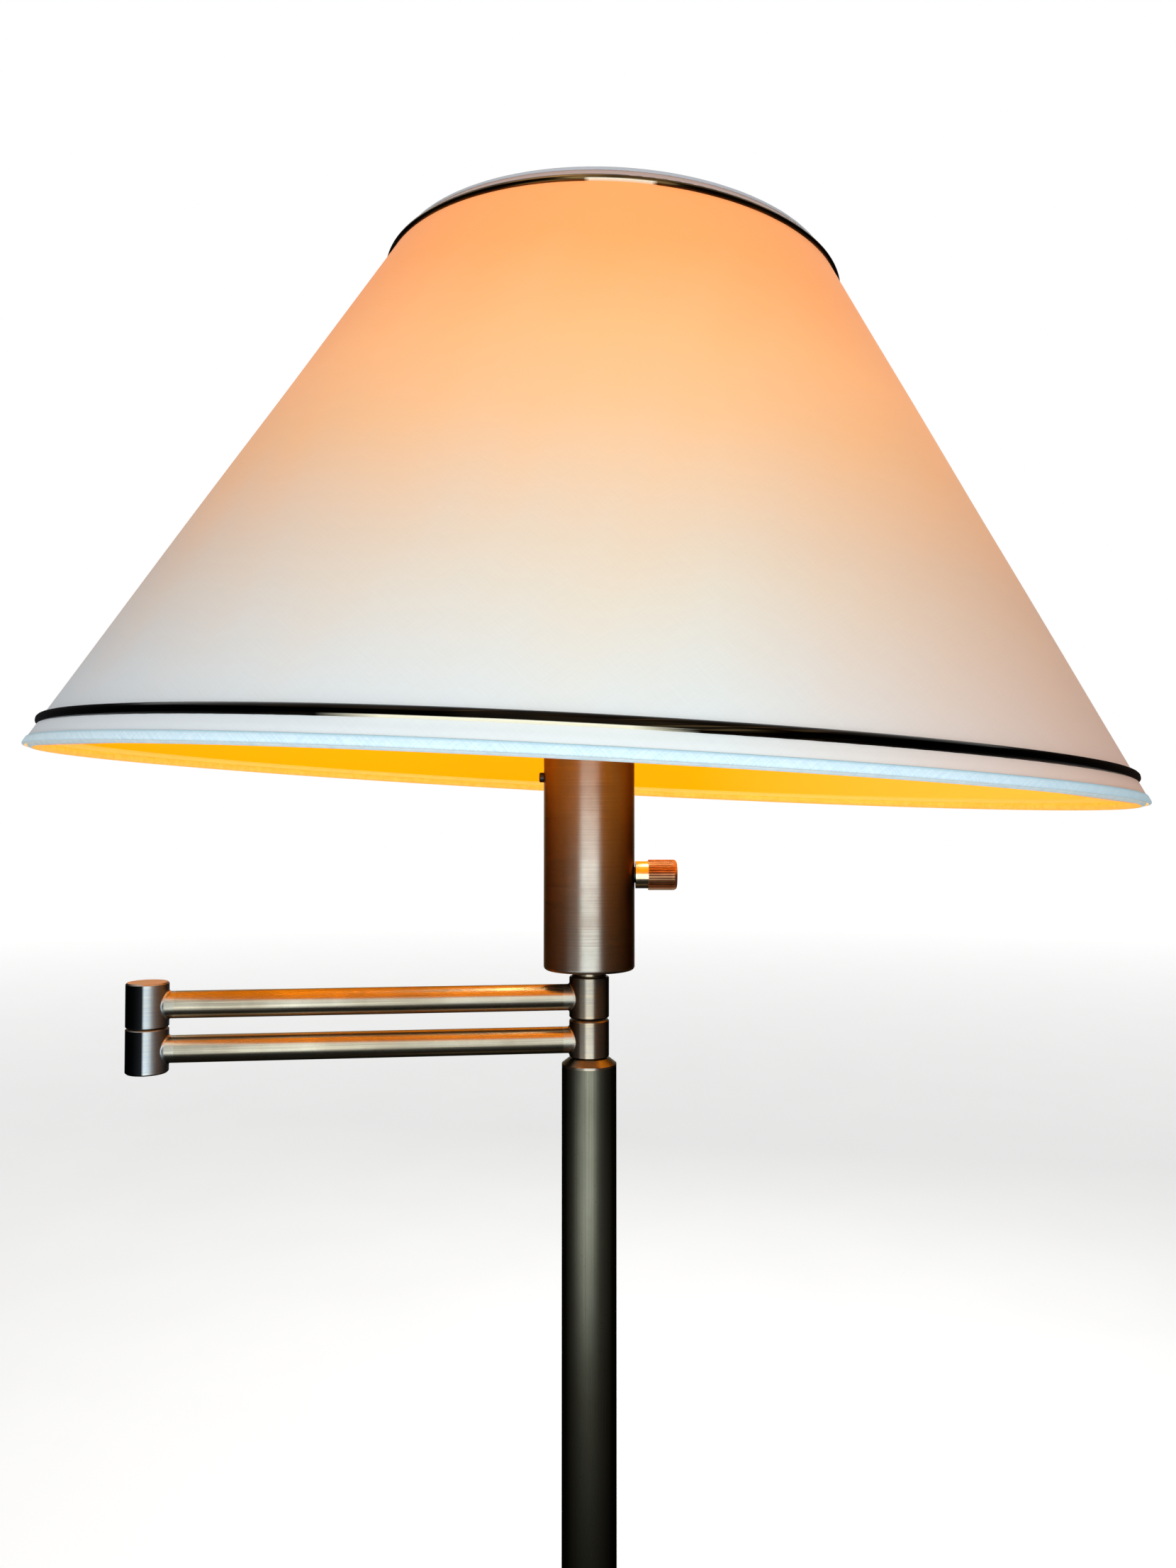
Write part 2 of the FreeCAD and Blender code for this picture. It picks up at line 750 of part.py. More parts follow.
# Wire inside the lamp: straight runs joined by tangent arcs, cut at the three swivels
def wire(label, plane, route, **placement):
    """A round wire from the body's own origin along a route of points and arcs."""
    body = new_body(label, **placement)
    section = new_sketch(body, "XY_Plane", "section")
    draw_circle(section, "wire_diameter")
    path = new_sketch(body, plane, "path")
    draw(path, route, closed=False)
    pipe = body.newObject("PartDesign::AdditivePipe", "pipe")
    pipe.Profile = section
    pipe.Spine = path


def arm_wire(label, start, rise, climb, **placement):
    """Up through one swivel, along the arm and up through the next."""
    bend = size("wire_bend")
    far = size("arm_length")
    wire(label, "XZ_Plane", [
        (0, 0),
        (0, rise - bend, (bend, -1)),
        (bend, rise),
        (far - bend, rise, (bend, 1)),
        (far, rise + bend),
        (far, rise + climb),
    ], z=start, **placement)


def wires():
    """From the gland to the pole swivel, through both arms, and inside the housing."""
    drop = cap_top - size("gland_height")
    bend = size("wire_foot_bend")
    gland_inside = cover_radius - size("gland_shank_length")
    wire("pole_wire", "YZ_Plane", [
        (0, 0),
        (0, bend - drop, (bend, 1)),
        (bend, -drop),
        (gland_inside, -drop),
    ], z=cap_top)
    arm_wire(
        "lower_arm_wire", cap_top, lower_axis - cap_top, size("floor_side"),
        axis=Vector(0, 0, 1), angle=heading,
    )
    arm_wire(
        "upper_arm_wire", elbow_joint, upper_axis - elbow_joint, size("floor_side"),
        x=elbow_x, y=elbow_y, axis=Vector(0, 0, 1), angle=toward_hub,
    )
    to_dimmer = housing_bottom - head_joint + size("knob_height") - size("dimmer_height") / 2
    wire("dimmer_wire", "XZ_Plane", [(0, 0), (0, to_dimmer)], z=head_joint)
    dimmer_top = size("knob_height") + size("dimmer_height") / 2
    wire(
        "socket_wire", "XZ_Plane", [(0, 0), (0, size("socket_base_height") - dimmer_top)],
        z=housing_bottom + dimmer_top,
    )


# Head
def housing():
    """A drawn cup that holds the dimmer and the lamp holder."""
    outer = size("housing_diameter") / 2
    body = new_body("socket_housing", z=housing_bottom)
    turn(body, [
        (pivot_hole / 2, 0),
        (outer, 0),
        (outer, "housing_height"),
        (housing_inner, "housing_height"),
        (housing_inner, "housing_floor"),
        (pivot_hole / 2, "housing_floor"),
    ])
    dress(body, "PartDesign::Fillet", "housing_edge", circle_at(outer, ZERO))
    knob_hole = new_sketch(body, "YZ_Plane", "knob_hole_outline")
    bushing_hole = size("bushing_diameter") + size("bushing_clearance") * 2
    draw_circle(knob_hole, bushing_hole, ZERO, size("knob_height"))
    cut_checked(body, knob_hole, outer + size("housing_wall"), True, "knob_hole")
    screw_hole = new_sketch(body, "YZ_Plane", "screw_hole_outline")
    threaded = size("set_screw_diameter") + size("set_screw_clearance") * 2
    draw_circle(screw_hole, threaded, ZERO, size("set_screw_height"))
    cut_checked(body, screw_hole, outer + size("housing_wall"), False, "screw_hole")


def dimmer():
    """The rotary dimmer: a block and a bushing in one moulding, bored for the shaft."""
    front = size("dimmer_front")
    bottom = -size("dimmer_height") / 2
    half = size("dimmer_width") / 2
    body = new_body("dimmer", z=housing_bottom + size("knob_height"))
    block = new_sketch(body, "XY_Plane", "block_outline", offset=bottom)
    draw(block, [(-size("dimmer_rear"), -half), (front, -half), (front, half), (-size("dimmer_rear"), half)])
    extrude(body, block, size("dimmer_height"), name="block")
    bushing = new_sketch(body, "YZ_Plane", "bushing_outline", offset=front)
    draw_circle(bushing, "bushing_diameter")
    bushing_end = size("housing_diameter") / 2 + size("bushing_stand_out")
    extrude(body, bushing, bushing_end - front, name="bushing")
    bore = new_sketch(body, "YZ_Plane", "shaft_bore_outline", offset=front - size("shaft_inset"))
    draw_circle(bore, size("shaft_diameter") + size("shaft_clearance") * 2)
    cut_checked(body, bore, bushing_end, True, "shaft_bore")


def knob():
    """The shaft and the turned knob: a plain collar and a knurled barrel."""
    base = size("housing_diameter") / 2 + size("knob_gap")
    collar = size("knob_collar_length")
    length = size("knob_length")
    radius = size("knob_diameter") / 2
    collar_radius = size("knob_collar_diameter") / 2
    recess = size("knob_recess_diameter") / 2
    bore = size("shaft_diameter") / 2 + size("thread_clearance")
    outward = {"z": housing_bottom + size("knob_height"), "axis": Vector(0, 1, 0), "angle": QUARTER_TURN}
    shaft_start = size("dimmer_front") - size("shaft_inset") + size("shaft_clearance")
    shaft_end = base + size("knob_recess_depth") + size("shaft_grip")
    shaft = size("shaft_diameter") / 2
    reach = shaft_end - shaft_start
    turned_part("knob_shaft", [(0, 0), (shaft, 0), (shaft, reach), (0, reach)], x=shaft_start, **outward)
    body = new_body("dimmer_knob", x=base, **outward)
    turn(body, [
        (recess, 0),
        (collar_radius, 0),
        (collar_radius, collar),
        (radius, collar),
        (radius, length),
        (0, length),
        (0, size("knob_recess_depth") + size("shaft_grip")),
        (bore, size("knob_recess_depth") + size("shaft_grip")),
        (bore, "knob_recess_depth"),
        (recess, "knob_recess_depth"),
    ])
    dress(body, "PartDesign::Fillet", "knob_end_round", circle_at(radius, length))
    document.recompute()
    before = body.Shape.Volume
    depth = size("knurl_depth")
    notch = new_sketch(body, "XY_Plane", "notch_outline", offset=collar)
    draw(notch, [(radius - depth, 0), (radius + depth, -depth), (radius + depth, depth)])
    cut = extrude(body, notch, length - collar, "PartDesign::Pocket", True, "notch")
    pattern = body.newObject("PartDesign::PolarPattern", "knurl")
    pattern.Originals = [cut]
    pattern.Axis = (notch, ["N_Axis"])
    pattern.Angle = FULL_TURN
    pattern.Occurrences = int(SIZES["knurl_count"])
    pattern.setExpression("Occurrences", "Sizes.knurl_count")
    body.Tip = pattern
    document.recompute()
    if not body.Shape.Volume < before:
        raise RuntimeError("the knurl cuts nothing")


def lamp_holder():
    """The moulded holder, its screw shell and contact, and the screw that locks it."""
    low = size("socket_base_height")
    floor = low + size("socket_floor")
    inside = housing_inner - size("socket_fit")
    sleeve = size("socket_sleeve_diameter") / 2
    rest = size("housing_height")
    bore = size("socket_bore") / 2
    turned_part("lamp_holder", [
        (0, low),
        (inside, low),
        (inside, rest),
        (sleeve, rest),
        (sleeve, "socket_top"),
        (bore, "socket_top"),
        (bore, floor),
        (0, floor),
    ], z=housing_bottom)
    shell_outer = size("socket_bore") - size("screw_shell_fit") * 2
    shell_inner = shell_outer - size("screw_shell_wall") * 2
    ring("screw_shell", shell_outer, shell_inner, "screw_shell_length", z=housing_bottom + floor)
    contact = size("contact_diameter") / 2
    thick = size("contact_thickness")
    turned_part(
        "holder_contact", [(0, 0), (contact, 0), (contact, thick), (0, thick)], z=housing_bottom + floor
    )
    screw = size("set_screw_diameter") / 2
    tip = inside + size("thread_clearance")
    head = size("housing_diameter") / 2 + size("set_screw_stand_out")
    body = turned_part(
        "set_screw", [(0, 0), (screw, 0), (screw, head - tip), (0, head - tip)],
        x=-tip, z=housing_bottom + size("set_screw_height"), axis=Vector(0, 1, 0), angle=-QUARTER_TURN,
    )
    dress(body, "PartDesign::Chamfer", "set_screw_chamfer", circle_at(screw, head - tip))


def bulb():
    """A standard pear-shaped bulb, screwed home in the holder."""
    seat = housing_bottom + size("socket_base_height") + size("socket_floor")
    seat = seat + size("contact_thickness") + size("bulb_seat_gap")
    button = size("bulb_button_height")
    top = size("bulb_cap_height")
    cap_radius = size("bulb_cap_diameter") / 2
    cap = [(0, 0), (size("bulb_button_diameter") / 2, 0), (cap_radius, button), (cap_radius, top), (0, top)]
    turned_part("bulb_cap", cap, z=seat)
    radius = size("bulb_diameter") / 2
    centre = size("bulb_centre_height")
    neck = size("bulb_neck_diameter") / 2
    neck_top = size("bulb_neck_length")
    skin = size("bulb_wall")
    reach = centre - neck_top
    # The flare is the tangent from the top of the neck to the round of the bulb
    distance = (reach * reach + neck * neck).root()
    tangent = (distance * distance - radius * radius).root()
    cosine = (tangent * neck * -1 + radius * reach) / (distance * distance)
    sine = (radius * neck + tangent * reach) / (distance * distance)
    inner = radius - skin
    turned_part("bulb_glass", [
        (neck - skin, 0),
        (neck, 0),
        (neck, neck_top),
        (sine * radius, centre - cosine * radius, (radius, 1)),
        (0, centre + radius),
        (0, centre + inner, (inner, -1)),
        (sine * inner, centre - cosine * inner),
        (neck - skin, neck_top),
    ], z=seat + top)


# Shade: everything about one tilted axis through the centre of its fitter ring
tilted = {"z": fitter_centre, "axis": Vector(0, 1, 0), "angle": size("shade_tilt")}
rim = -size("shade_depth_below_fitter")
flare = size("shade_bottom_radius") - size("shade_top_radius")
slant = (flare * flare + size("shade_height") * size("shade_height")).root()
cone_sine = flare / slant
cone_cosine = size("shade_height") / slant


def on_cone(along, outward):
    """A point at a distance up the slant from the bottom edge, and at a distance out of the cone."""
    along = size(along)
    outward = size(outward)
    radius = size("shade_bottom_radius") - along * cone_sine + outward * cone_cosine
    height = rim + along * cone_cosine + outward * cone_sine
    return radius, height


def band(label, start, end, inner, outer):
    """A band of even thickness that follows the cone."""
    corners = [on_cone(start, inner), on_cone(start, outer), on_cone(end, outer), on_cone(end, inner)]
    return turned_part(label, corners, **tilted)


def trim(label, start, width):
    """A half-round strip on the outside of the shade."""
    width = size(width)
    middle = size(start) + width / 2
    bulge = size("trim_height")
    radius = (width * width / 4 + bulge * bulge) / (bulge * 2)
    low = on_cone(start, ZERO)
    crest = on_cone(middle, bulge)
    high = on_cone(size(start) + width, ZERO)
    turned_part(label, [
        (low[0], low[1], (radius, 1)),
        (crest[0], crest[1], (radius, 1)),
        (high[0], high[1]),
    ], **tilted)


def wire_hoop(label, along):
    """A round wire hoop that lies inside the shade's edge. Returns the centre of its section."""
    half = size("shade_wire_diameter") / 2
    centre = on_cone(along, -size("shade_wall") - size("glue_gap") - half)
    body = new_body(label, **tilted)
    sketch = new_sketch(body, "XZ_Plane", "section")
    draw_circle(sketch, "shade_wire_diameter", centre[0], centre[1])
    hoop = body.newObject("PartDesign::Revolution", "hoop")
    hoop.Profile = sketch
    hoop.ReferenceAxis = (sketch, ["V_Axis"])
    hoop.Angle = FULL_TURN
    return centre


def shade():
    """Fabric cone, hoops, hems, trims and the carrier that clamps under the shade ring."""
    glue = size("glue_gap")
    hem = glue + size("hem_thickness")
    wire_half = size("shade_wire_diameter") / 2
    band("shade_fabric", ZERO, slant, -size("shade_wall"), ZERO)
    low_hoop = wire_hoop("bottom_hoop", wire_half)
    wire_hoop("top_hoop", slant - wire_half)
    band("bottom_hem", ZERO, size("hem_bottom_width"), glue, hem)
    band("top_hem", slant - size("hem_top_width"), slant, glue, hem)
    trim("bottom_trim", "trim_bottom_offset", "trim_bottom_width")
    trim("top_trim", slant - size("trim_top_offset") - size("trim_top_width"), "trim_top_width")
    thick = size("fitter_thickness")
    ring_outline = [
        (size("fitter_bore") / 2, -thick / 2),
        (size("fitter_diameter") / 2, -thick / 2),
        (size("fitter_diameter") / 2, thick / 2),
        (size("fitter_bore") / 2, thick / 2),
    ]
    turned_part("fitter_ring", ring_outline, **tilted)
    spider_arms(low_hoop)


def spider_arms(low_hoop):
    """Three straight wires from the fitter ring down to the bottom hoop."""
    half = size("spider_wire_diameter") / 2
    start = size("fitter_diameter") / 2 - size("spider_weld")
    outward = low_hoop[0] - size("shade_wire_diameter") / 2 + size("spider_weld") - start
    drop = low_hoop[1]
    length = (outward * outward + drop * drop).root()
    pitch = outward.angle_from(drop)
    rods = []
    for azimuth in SPIDER_AZIMUTHS:
        cosine = size(azimuth).cosine()
        sine = size(azimuth).sine()
        rod = primitive("Part::Cylinder", f"spider_rod_{azimuth}", Radius=half, Height=length)
        across = Vector(-sine.value, cosine.value, 0)
        place(rod, x=start * cosine, y=start * sine, axis=across, angle=pitch)
        rods.append(rod)
    star = document.addObject("Part::Compound", "spider_arms")
    star.Links = rods
    star.Label = "spider_arms"
    place(star, **tilted)
    subparts.append(star)


def shade_rings():
    """The two threaded rings on the lamp holder, with the shade's fitter ring loose between them."""
    bore = size("socket_sleeve_diameter") + size("shade_ring_bore_clearance") * 2
    half_gap = size("shade_ring_gap") / 2
    height = size("shade_ring_height")
    ring("lower_shade_ring", "shade_ring_diameter", bore, height, z=fitter_centre - half_gap - height)
    ring("upper_shade_ring", "shade_ring_diameter", bore, height, z=fitter_centre + half_gap)


felt_pad()
base_weight()
base_cover()
cord_gland()
base_fastening()
pole()
swivel_at_pole()
arms()
swivel_at_elbow()
swivel_at_head()
wires()
housing()
dimmer()
knob()
lamp_holder()
bulb()
shade()
shade_rings()
document.recompute()

# Every object has to be sound before any file is written
for item in document.Objects:
    if "Invalid" in item.State or "Error" in item.State:
        raise RuntimeError(f"{item.Label} failed to build")
for part in subparts:
    if part.Shape.isNull() or not part.Shape.isValid():
        raise RuntimeError(f"{part.Label} has no valid shape")

os.makedirs("parts", exist_ok=True)
for part in subparts:
    part.Shape.exportStep(f"parts/{part.Label}.step")
    box = part.Shape.BoundBox
    print(f"{part.Label}: {len(part.Shape.Solids)} solid, {part.Shape.Volume:.0f} mm3, "
          f"z {box.ZMin:.1f} to {box.ZMax:.1f}")
print(f"{len(subparts)} sub-parts")
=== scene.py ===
"""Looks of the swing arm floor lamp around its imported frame, in metres and in the row frame."""

import math

import bpy
from mathutils import Matrix, Vector, noise

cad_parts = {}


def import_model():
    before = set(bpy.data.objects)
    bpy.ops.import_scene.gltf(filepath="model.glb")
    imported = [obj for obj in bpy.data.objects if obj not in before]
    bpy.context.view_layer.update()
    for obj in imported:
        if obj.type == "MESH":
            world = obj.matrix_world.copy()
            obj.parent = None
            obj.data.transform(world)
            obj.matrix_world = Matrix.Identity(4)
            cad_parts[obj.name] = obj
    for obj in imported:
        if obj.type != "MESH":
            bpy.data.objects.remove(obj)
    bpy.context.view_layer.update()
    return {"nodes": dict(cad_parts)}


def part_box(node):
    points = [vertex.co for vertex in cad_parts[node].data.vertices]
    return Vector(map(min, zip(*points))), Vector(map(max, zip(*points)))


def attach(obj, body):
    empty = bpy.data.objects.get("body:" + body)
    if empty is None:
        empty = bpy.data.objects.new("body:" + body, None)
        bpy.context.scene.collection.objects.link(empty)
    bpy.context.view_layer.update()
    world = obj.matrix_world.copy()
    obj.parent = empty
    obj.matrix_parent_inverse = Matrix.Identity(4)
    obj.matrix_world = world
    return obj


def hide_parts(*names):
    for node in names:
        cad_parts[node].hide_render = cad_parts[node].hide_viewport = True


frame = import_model()
nodes = frame["nodes"]

FULL_TURN = 2 * math.pi

# The photograph's camera
IMAGE_HEIGHT = 2212
FOCAL_PIXELS = 1660
SENSOR = 36.0
CAMERA_PLACE = (-0.0005, -0.5195, 1.1608)
CAMERA_PITCH = math.radians(1.52)
CLIP_START = 0.02

# The shade, along its own tilted axis
RIM_RADIUS = 0.225
TOP_RADIUS = 0.0945
SHADE_HEIGHT = 0.222
RIM_BELOW_FITTER = 0.0216
SHADE_WALL = 0.0007
SLANT = math.hypot(RIM_RADIUS - TOP_RADIUS, SHADE_HEIGHT)
CONE_SINE = (RIM_RADIUS - TOP_RADIUS) / SLANT
CONE_COSINE = SHADE_HEIGHT / SLANT
RIM_FROM_APEX = RIM_RADIUS / CONE_SINE

# The shade's meshes: steps round it, rows up the cloth, and how far that stands off a true cone
ROUND = 256
ROWS = 44
UNEVENNESS = 0.00025
RIPPLES_ROUND = 3.2
RIPPLES_ALONG = 16
GLUE_GAP = 0.00004

# The hems: how far each strip reaches outside and inside, its thickness and its turn at the edge
HEM_LOW = 0.0026
HEM_HIGH = 0.0017
HEM_INSIDE = 0.0052
HEM_CLOTH = 0.00038
HEM_FRILL = 0.00006
FRILLS_ROUND = 20
FRILL_SHIFT = 9
HEM_TAPER = 0.0004
HEM_ROUNDING = 0.0004
FOLD_CLOTH = 0.00036
OUTER_POINTS = 8

# The glued lap at the rear, which ends clear of both trims
SEAM_WIDTH = 0.008
SEAM_ABOVE_LOW_HEM = 0.012
SEAM_BELOW_HIGH_HEM = 0.0075
SEAM_FROM = HEM_LOW + SEAM_ABOVE_LOW_HEM
SEAM_LENGTH = SLANT - HEM_HIGH - SEAM_BELOW_HIGH_HEM - SEAM_FROM
SEAM_ROWS = 24
SEAM_STEPS = 6
SEAM_STAND = 0.00042
SEAM_FOOT = 0.00002

# The knuckles: an upright barrel with a neck that takes the arm, and the side where the elbow is
# painted dark in shade
BARREL_RADIUS = 0.00875
NECK_FROM = BARREL_RADIUS + 0.0006
NECK_TO = BARREL_RADIUS + 0.0012
SHADED_SIDE = math.radians(-121)

# The height of the painted shadow on the housing's top, and where the knob's barrel and its pale end
# begin, from its inner face
PAINTED_SHADOW_HEIGHT = 0.05
KNOB_BARREL = (0.0054, 0.0058)
KNOB_END = (0.0156, 0.0182)

# How far from an edge metal is rubbed bright
BRASS_WEAR = 0.0005
KNOB_WEAR = 0.0003
METAL_WEAR = 0.0004

# Depths of the materials' relief
STRAND_DEPTH = 0.00004
PATCH_DEPTH = 0.00016
KNURL_DEPTH = 0.00002
THREAD_DEPTH = 0.00012
CREASE_DEPTH = 0.0006
TAPE_DEPTH = 0.00005
TRIM_DEPTH = 0.0004

# Where the rosy strip above the top trim and the painted shadow at the hem's fold begin, as shares of
# the height
ROSY_STRIP = (0.968, 0.976)
FOLD_SHADOW = (0.0065, 0.0095)

# The surroundings' light on the object, while the camera and reflections see them at 1
AMBIENT = 0.35

# The floor around the lamp
FLOOR_RADIUS = 40.0
FLOOR_RINGS = 24
FLOOR_STEPS = 96
FLOOR_GROWTH = 2.5
FLOOR_BELOW = 0.0005

# The dark cards that only reflections see
CARD_STEPS = 24
CARD_RADIUS = 3.4
CARD_HEIGHTS = (0.02, 3.6)


def middle(node):
    """The middle of a CAD node's box."""
    low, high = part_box(node)
    return (low + high) / 2


def tone(red, green, blue):
    """A colour as a screen shows it, 0 to 255, made linear."""
    def straight(value):
        value /= 255
        return value / 12.92 if value <= 0.04045 else ((value + 0.055) / 1.055) ** 2.4

    return straight(red), straight(green), straight(blue), 1.0


def put(name, data):
    """Adds an object with this mesh, lamp or camera to the scene."""
    made = bpy.data.objects.new(name, data)
    bpy.context.scene.collection.objects.link(made)
    return made


def mesh_of(name, points, faces):
    """A mesh from its points and faces."""
    mesh = bpy.data.meshes.new(name)
    mesh.from_pydata(points, [], faces)
    return mesh


def give(material, *names):
    """Puts one material on each of these CAD nodes."""
    for name in names:
        mesh = nodes[name].data
        mesh.materials.clear()
        mesh.materials.append(material)


class Shader:
    """One procedural material. Its methods add nodes and return the socket for the next one."""

    def __init__(self, name):
        self.material = bpy.data.materials.new(name)
        self.material.use_nodes = True
        self.tree = self.material.node_tree
        self.tree.nodes.clear()
        output = self.add("ShaderNodeOutputMaterial")
        self.surface = self.add("ShaderNodeBsdfPrincipled")
        self.tree.links.new(self.surface.outputs["BSDF"], output.inputs["Surface"])
        self.place = self.add("ShaderNodeTexCoord").outputs["Object"]
        self.normal = None

    def add(self, kind, **settings):
        """Adds a node and sets its properties."""
        node = self.tree.nodes.new(kind)
        for key, value in settings.items():
            setattr(node, key, value)
        return node

    def feed(self, socket, value):
        """Links a socket to another one, or sets its number."""
        if isinstance(value, bpy.types.NodeSocket):
            self.tree.links.new(value, socket)
        else:
            socket.default_value = value

    def set(self, **values):
        """Sets the surface's own sockets: base_color means Base Color."""
        for key, value in values.items():
            wanted = key.replace("_", " ").lower()
            socket = next(s for s in self.surface.inputs if s.name.lower() == wanted)
            self.feed(socket, value)

    def sum(self, operation, first, second):
        """Works out one sum of two numbers, such as ADD or MULTIPLY."""
        node = self.add("ShaderNodeMath", operation=operation)
        self.feed(node.inputs[0], first)
        self.feed(node.inputs[1], second)
        return node.outputs[0]

    def span(self, value, low, high, out_low, out_high):
        """Maps low to high onto out_low to out_high, and holds the ends beyond them."""
        node = self.add("ShaderNodeMapRange", clamp=True)
        self.feed(node.inputs["Value"], value)
        ends = {"From Min": low, "From Max": high, "To Min": out_low, "To Max": out_high}
        for key, number in ends.items():
            self.feed(node.inputs[key], number)
        return node.outputs["Result"]

    def parts(self, vector=None):
        """The X, Y and Z of a vector, or of the place on the object."""
        split = self.add("ShaderNodeSeparateXYZ")
        self.feed(split.inputs[0], vector or self.place)
        return split.outputs

    def length(self, vector):
        """The length of a vector."""
        node = self.add("ShaderNodeVectorMath", operation="LENGTH")
        self.feed(node.inputs[0], vector)
        return node.outputs["Value"]

    def dot(self, first, second):
        """The dot product of two vectors."""
        node = self.add("ShaderNodeVectorMath", operation="DOT_PRODUCT")
        self.feed(node.inputs[0], first)
        self.feed(node.inputs[1], second)
        return node.outputs["Value"]

    def level(self, centre):
        """The level way to the place from an upright line through a point."""
        node = self.add("ShaderNodeVectorMath", operation="MULTIPLY_ADD")
        self.feed(node.inputs[0], self.place)
        node.inputs[1].default_value = (1, 1, 0)
        node.inputs[2].default_value = (-centre[0], -centre[1], 0)
        return node.outputs["Vector"]

    def toward(self, direction):
        """How far the surface looks along a direction in the object's own frame, -1 to 1."""
        return self.dot(self.add("ShaderNodeTexCoord").outputs["Normal"], direction)

    def facing(self):
        """0 where the surface faces the viewer, 1 where it turns away."""
        return self.add("ShaderNodeLayerWeight").outputs["Facing"]

    def edges(self, radius):
        """1 along outer edges and corners, 0 on open faces."""
        soft = self.add("ShaderNodeBevel", samples=4)
        soft.inputs["Radius"].default_value = radius
        flat = self.add("ShaderNodeNewGeometry")
        along = self.dot(soft.outputs["Normal"], flat.outputs["Normal"])
        return self.span(along, 0.75, 0.985, 1.0, 0.0)

    def noise(self, scale, detail=3.0, roughness=0.55, turned=0.0, place=None):
        """Noise with this many cells a metre along each axis, on a place turned about Z."""
        turn = self.add("ShaderNodeMapping", vector_type="TEXTURE")
        turn.inputs["Rotation"].default_value = (0, 0, turned)
        self.feed(turn.inputs["Vector"], place or self.place)
        stretch = self.add("ShaderNodeMapping", vector_type="POINT")
        stretch.inputs["Scale"].default_value = scale
        self.feed(stretch.inputs["Vector"], turn.outputs[0])
        node = self.add("ShaderNodeTexNoise")
        node.inputs["Scale"].default_value = 1.0
        node.inputs["Detail"].default_value = detail
        node.inputs["Roughness"].default_value = roughness
        self.feed(node.inputs["Vector"], stretch.outputs[0])
        return node.outputs["Fac"]

    def ramp(self, factor, *stops):
        """Colours along a factor, from stops of (where, colour)."""
        node = self.add("ShaderNodeValToRGB")
        points = node.color_ramp.elements
        while len(points) < len(stops):
            points.new(0.5)
        for point, (where, colour) in zip(points, stops):
            point.position = where
            point.color = colour
        self.feed(node.inputs["Fac"], factor)
        return node.outputs["Color"]

    def mix(self, factor, first, second):
        """The first colour at 0, the second one at 1."""
        node = self.add("ShaderNodeMix", data_type="RGBA")
        self.feed(node.inputs["Factor"], factor)
        for key, value in (("A_Color", first), ("B_Color", second)):
            socket = next(s for s in node.inputs if s.identifier == key)
            self.feed(socket, value)
        return next(s for s in node.outputs if s.identifier == "Result_Color")

    def bump(self, height, strength, distance):
        """Adds relief on top of the relief that is already there."""
        node = self.add("ShaderNodeBump")
        node.inputs["Strength"].default_value = strength
        node.inputs["Distance"].default_value = distance
        self.feed(node.inputs["Height"], height)
        if self.normal:
            self.feed(node.inputs["Normal"], self.normal)
        self.normal = node.outputs["Normal"]
        self.feed(self.surface.inputs["Normal"], self.normal)


ARM_BODY = tone(168, 160, 142)
ARM_ROUGHNESS = 0.24


def aged_brass(
    name, palette, roughness, grain, turned=0.0, patch=26.0, relief=0.25,
    spread=None, flank_shade=None, painted_tones=None, barrel=None
):
    """Satin brass with an antique tone: brushed one way, darker patches, edges rubbed bright.

    palette is the dark, the main and the worn tone. spread is the turn of the gloss on a part
    round Z: 0.25 smears it up and down, 0 round the part. flank_shade is painted shade and
    reflection, the tone mixed in where the surface turns from the viewer. painted_tones is a
    function that paints a part's own light and shade into the colour. barrel is the middle of
    an upright knuckle: the neck outside its radius is finished like its arm."""
    dark, body, worn = palette
    shader = Shader(name)
    if spread is not None:
        around = shader.add("ShaderNodeTangent", direction_type="RADIAL", axis="Z")
        shader.set(anisotropic=0.6, anisotropic_rotation=spread, tangent=around.outputs[0])
    strands = shader.noise(grain, 4.0, 0.6, turned)
    blotches = shader.noise((patch, patch, patch * 0.6), 5.0, 0.6)
    specks = shader.noise((900, 900, 900), 2.0, 0.5)

    colour = shader.ramp(blotches, (0.34, dark), (0.62, body))
    colour = shader.mix(shader.span(strands, 0.35, 0.7, 0.0, 0.4), colour, worn)
    colour = shader.mix(shader.span(specks, 0.66, 0.78, 0.0, 0.5), colour, dark)
    uneven = shader.span(blotches, 0.3, 0.7, 0.35, 1.0)
    colour = shader.mix(shader.sum("MULTIPLY", shader.edges(BRASS_WEAR), uneven), colour, worn)
    # Painted shade and reflection on the sides that turn from the viewer
    if flank_shade:
        colour = shader.mix(shader.span(shader.facing(), 0.07, 0.5, 0.0, 0.9), colour, flank_shade)
    # The part's own painted light and shade
    if painted_tones:
        colour = painted_tones(shader, colour)

    rough = shader.span(strands, 0.3, 0.75, roughness + 0.07, roughness - 0.05)
    if barrel is not None:
        neck = shader.span(shader.length(shader.level(barrel)), NECK_FROM, NECK_TO, 0.0, 1.0)
        colour = shader.mix(neck, colour, ARM_BODY)
        rough = shader.sum("ADD", rough, shader.sum("MULTIPLY", neck, ARM_ROUGHNESS - roughness))
    rough = shader.sum("ADD", rough, shader.span(blotches, 0.3, 0.7, 0.04, -0.02))
    shader.set(base_color=colour, roughness=rough, metallic=1.0, specular_tint=body)
    shader.bump(strands, relief, STRAND_DEPTH)
    shader.bump(blotches, relief, PATCH_DEPTH)
    return shader.material


def elbow_painted_light(shader, colour):
    """Painted light on the elbow: painted shade, nearly black, on its outer side, and a painted golden
    reflection on its top.
    """
    outward = shader.toward((math.cos(SHADED_SIDE), math.sin(SHADED_SIDE), 0))
    colour = shader.mix(shader.span(outward, 0.74, 0.8, 0.0, 0.97), colour, tone(12, 14, 18))
    upward = shader.toward((0, 0, 1))
    return shader.mix(shader.span(upward, 0.7, 0.95, 0.0, 0.9), colour, tone(236, 176, 96))


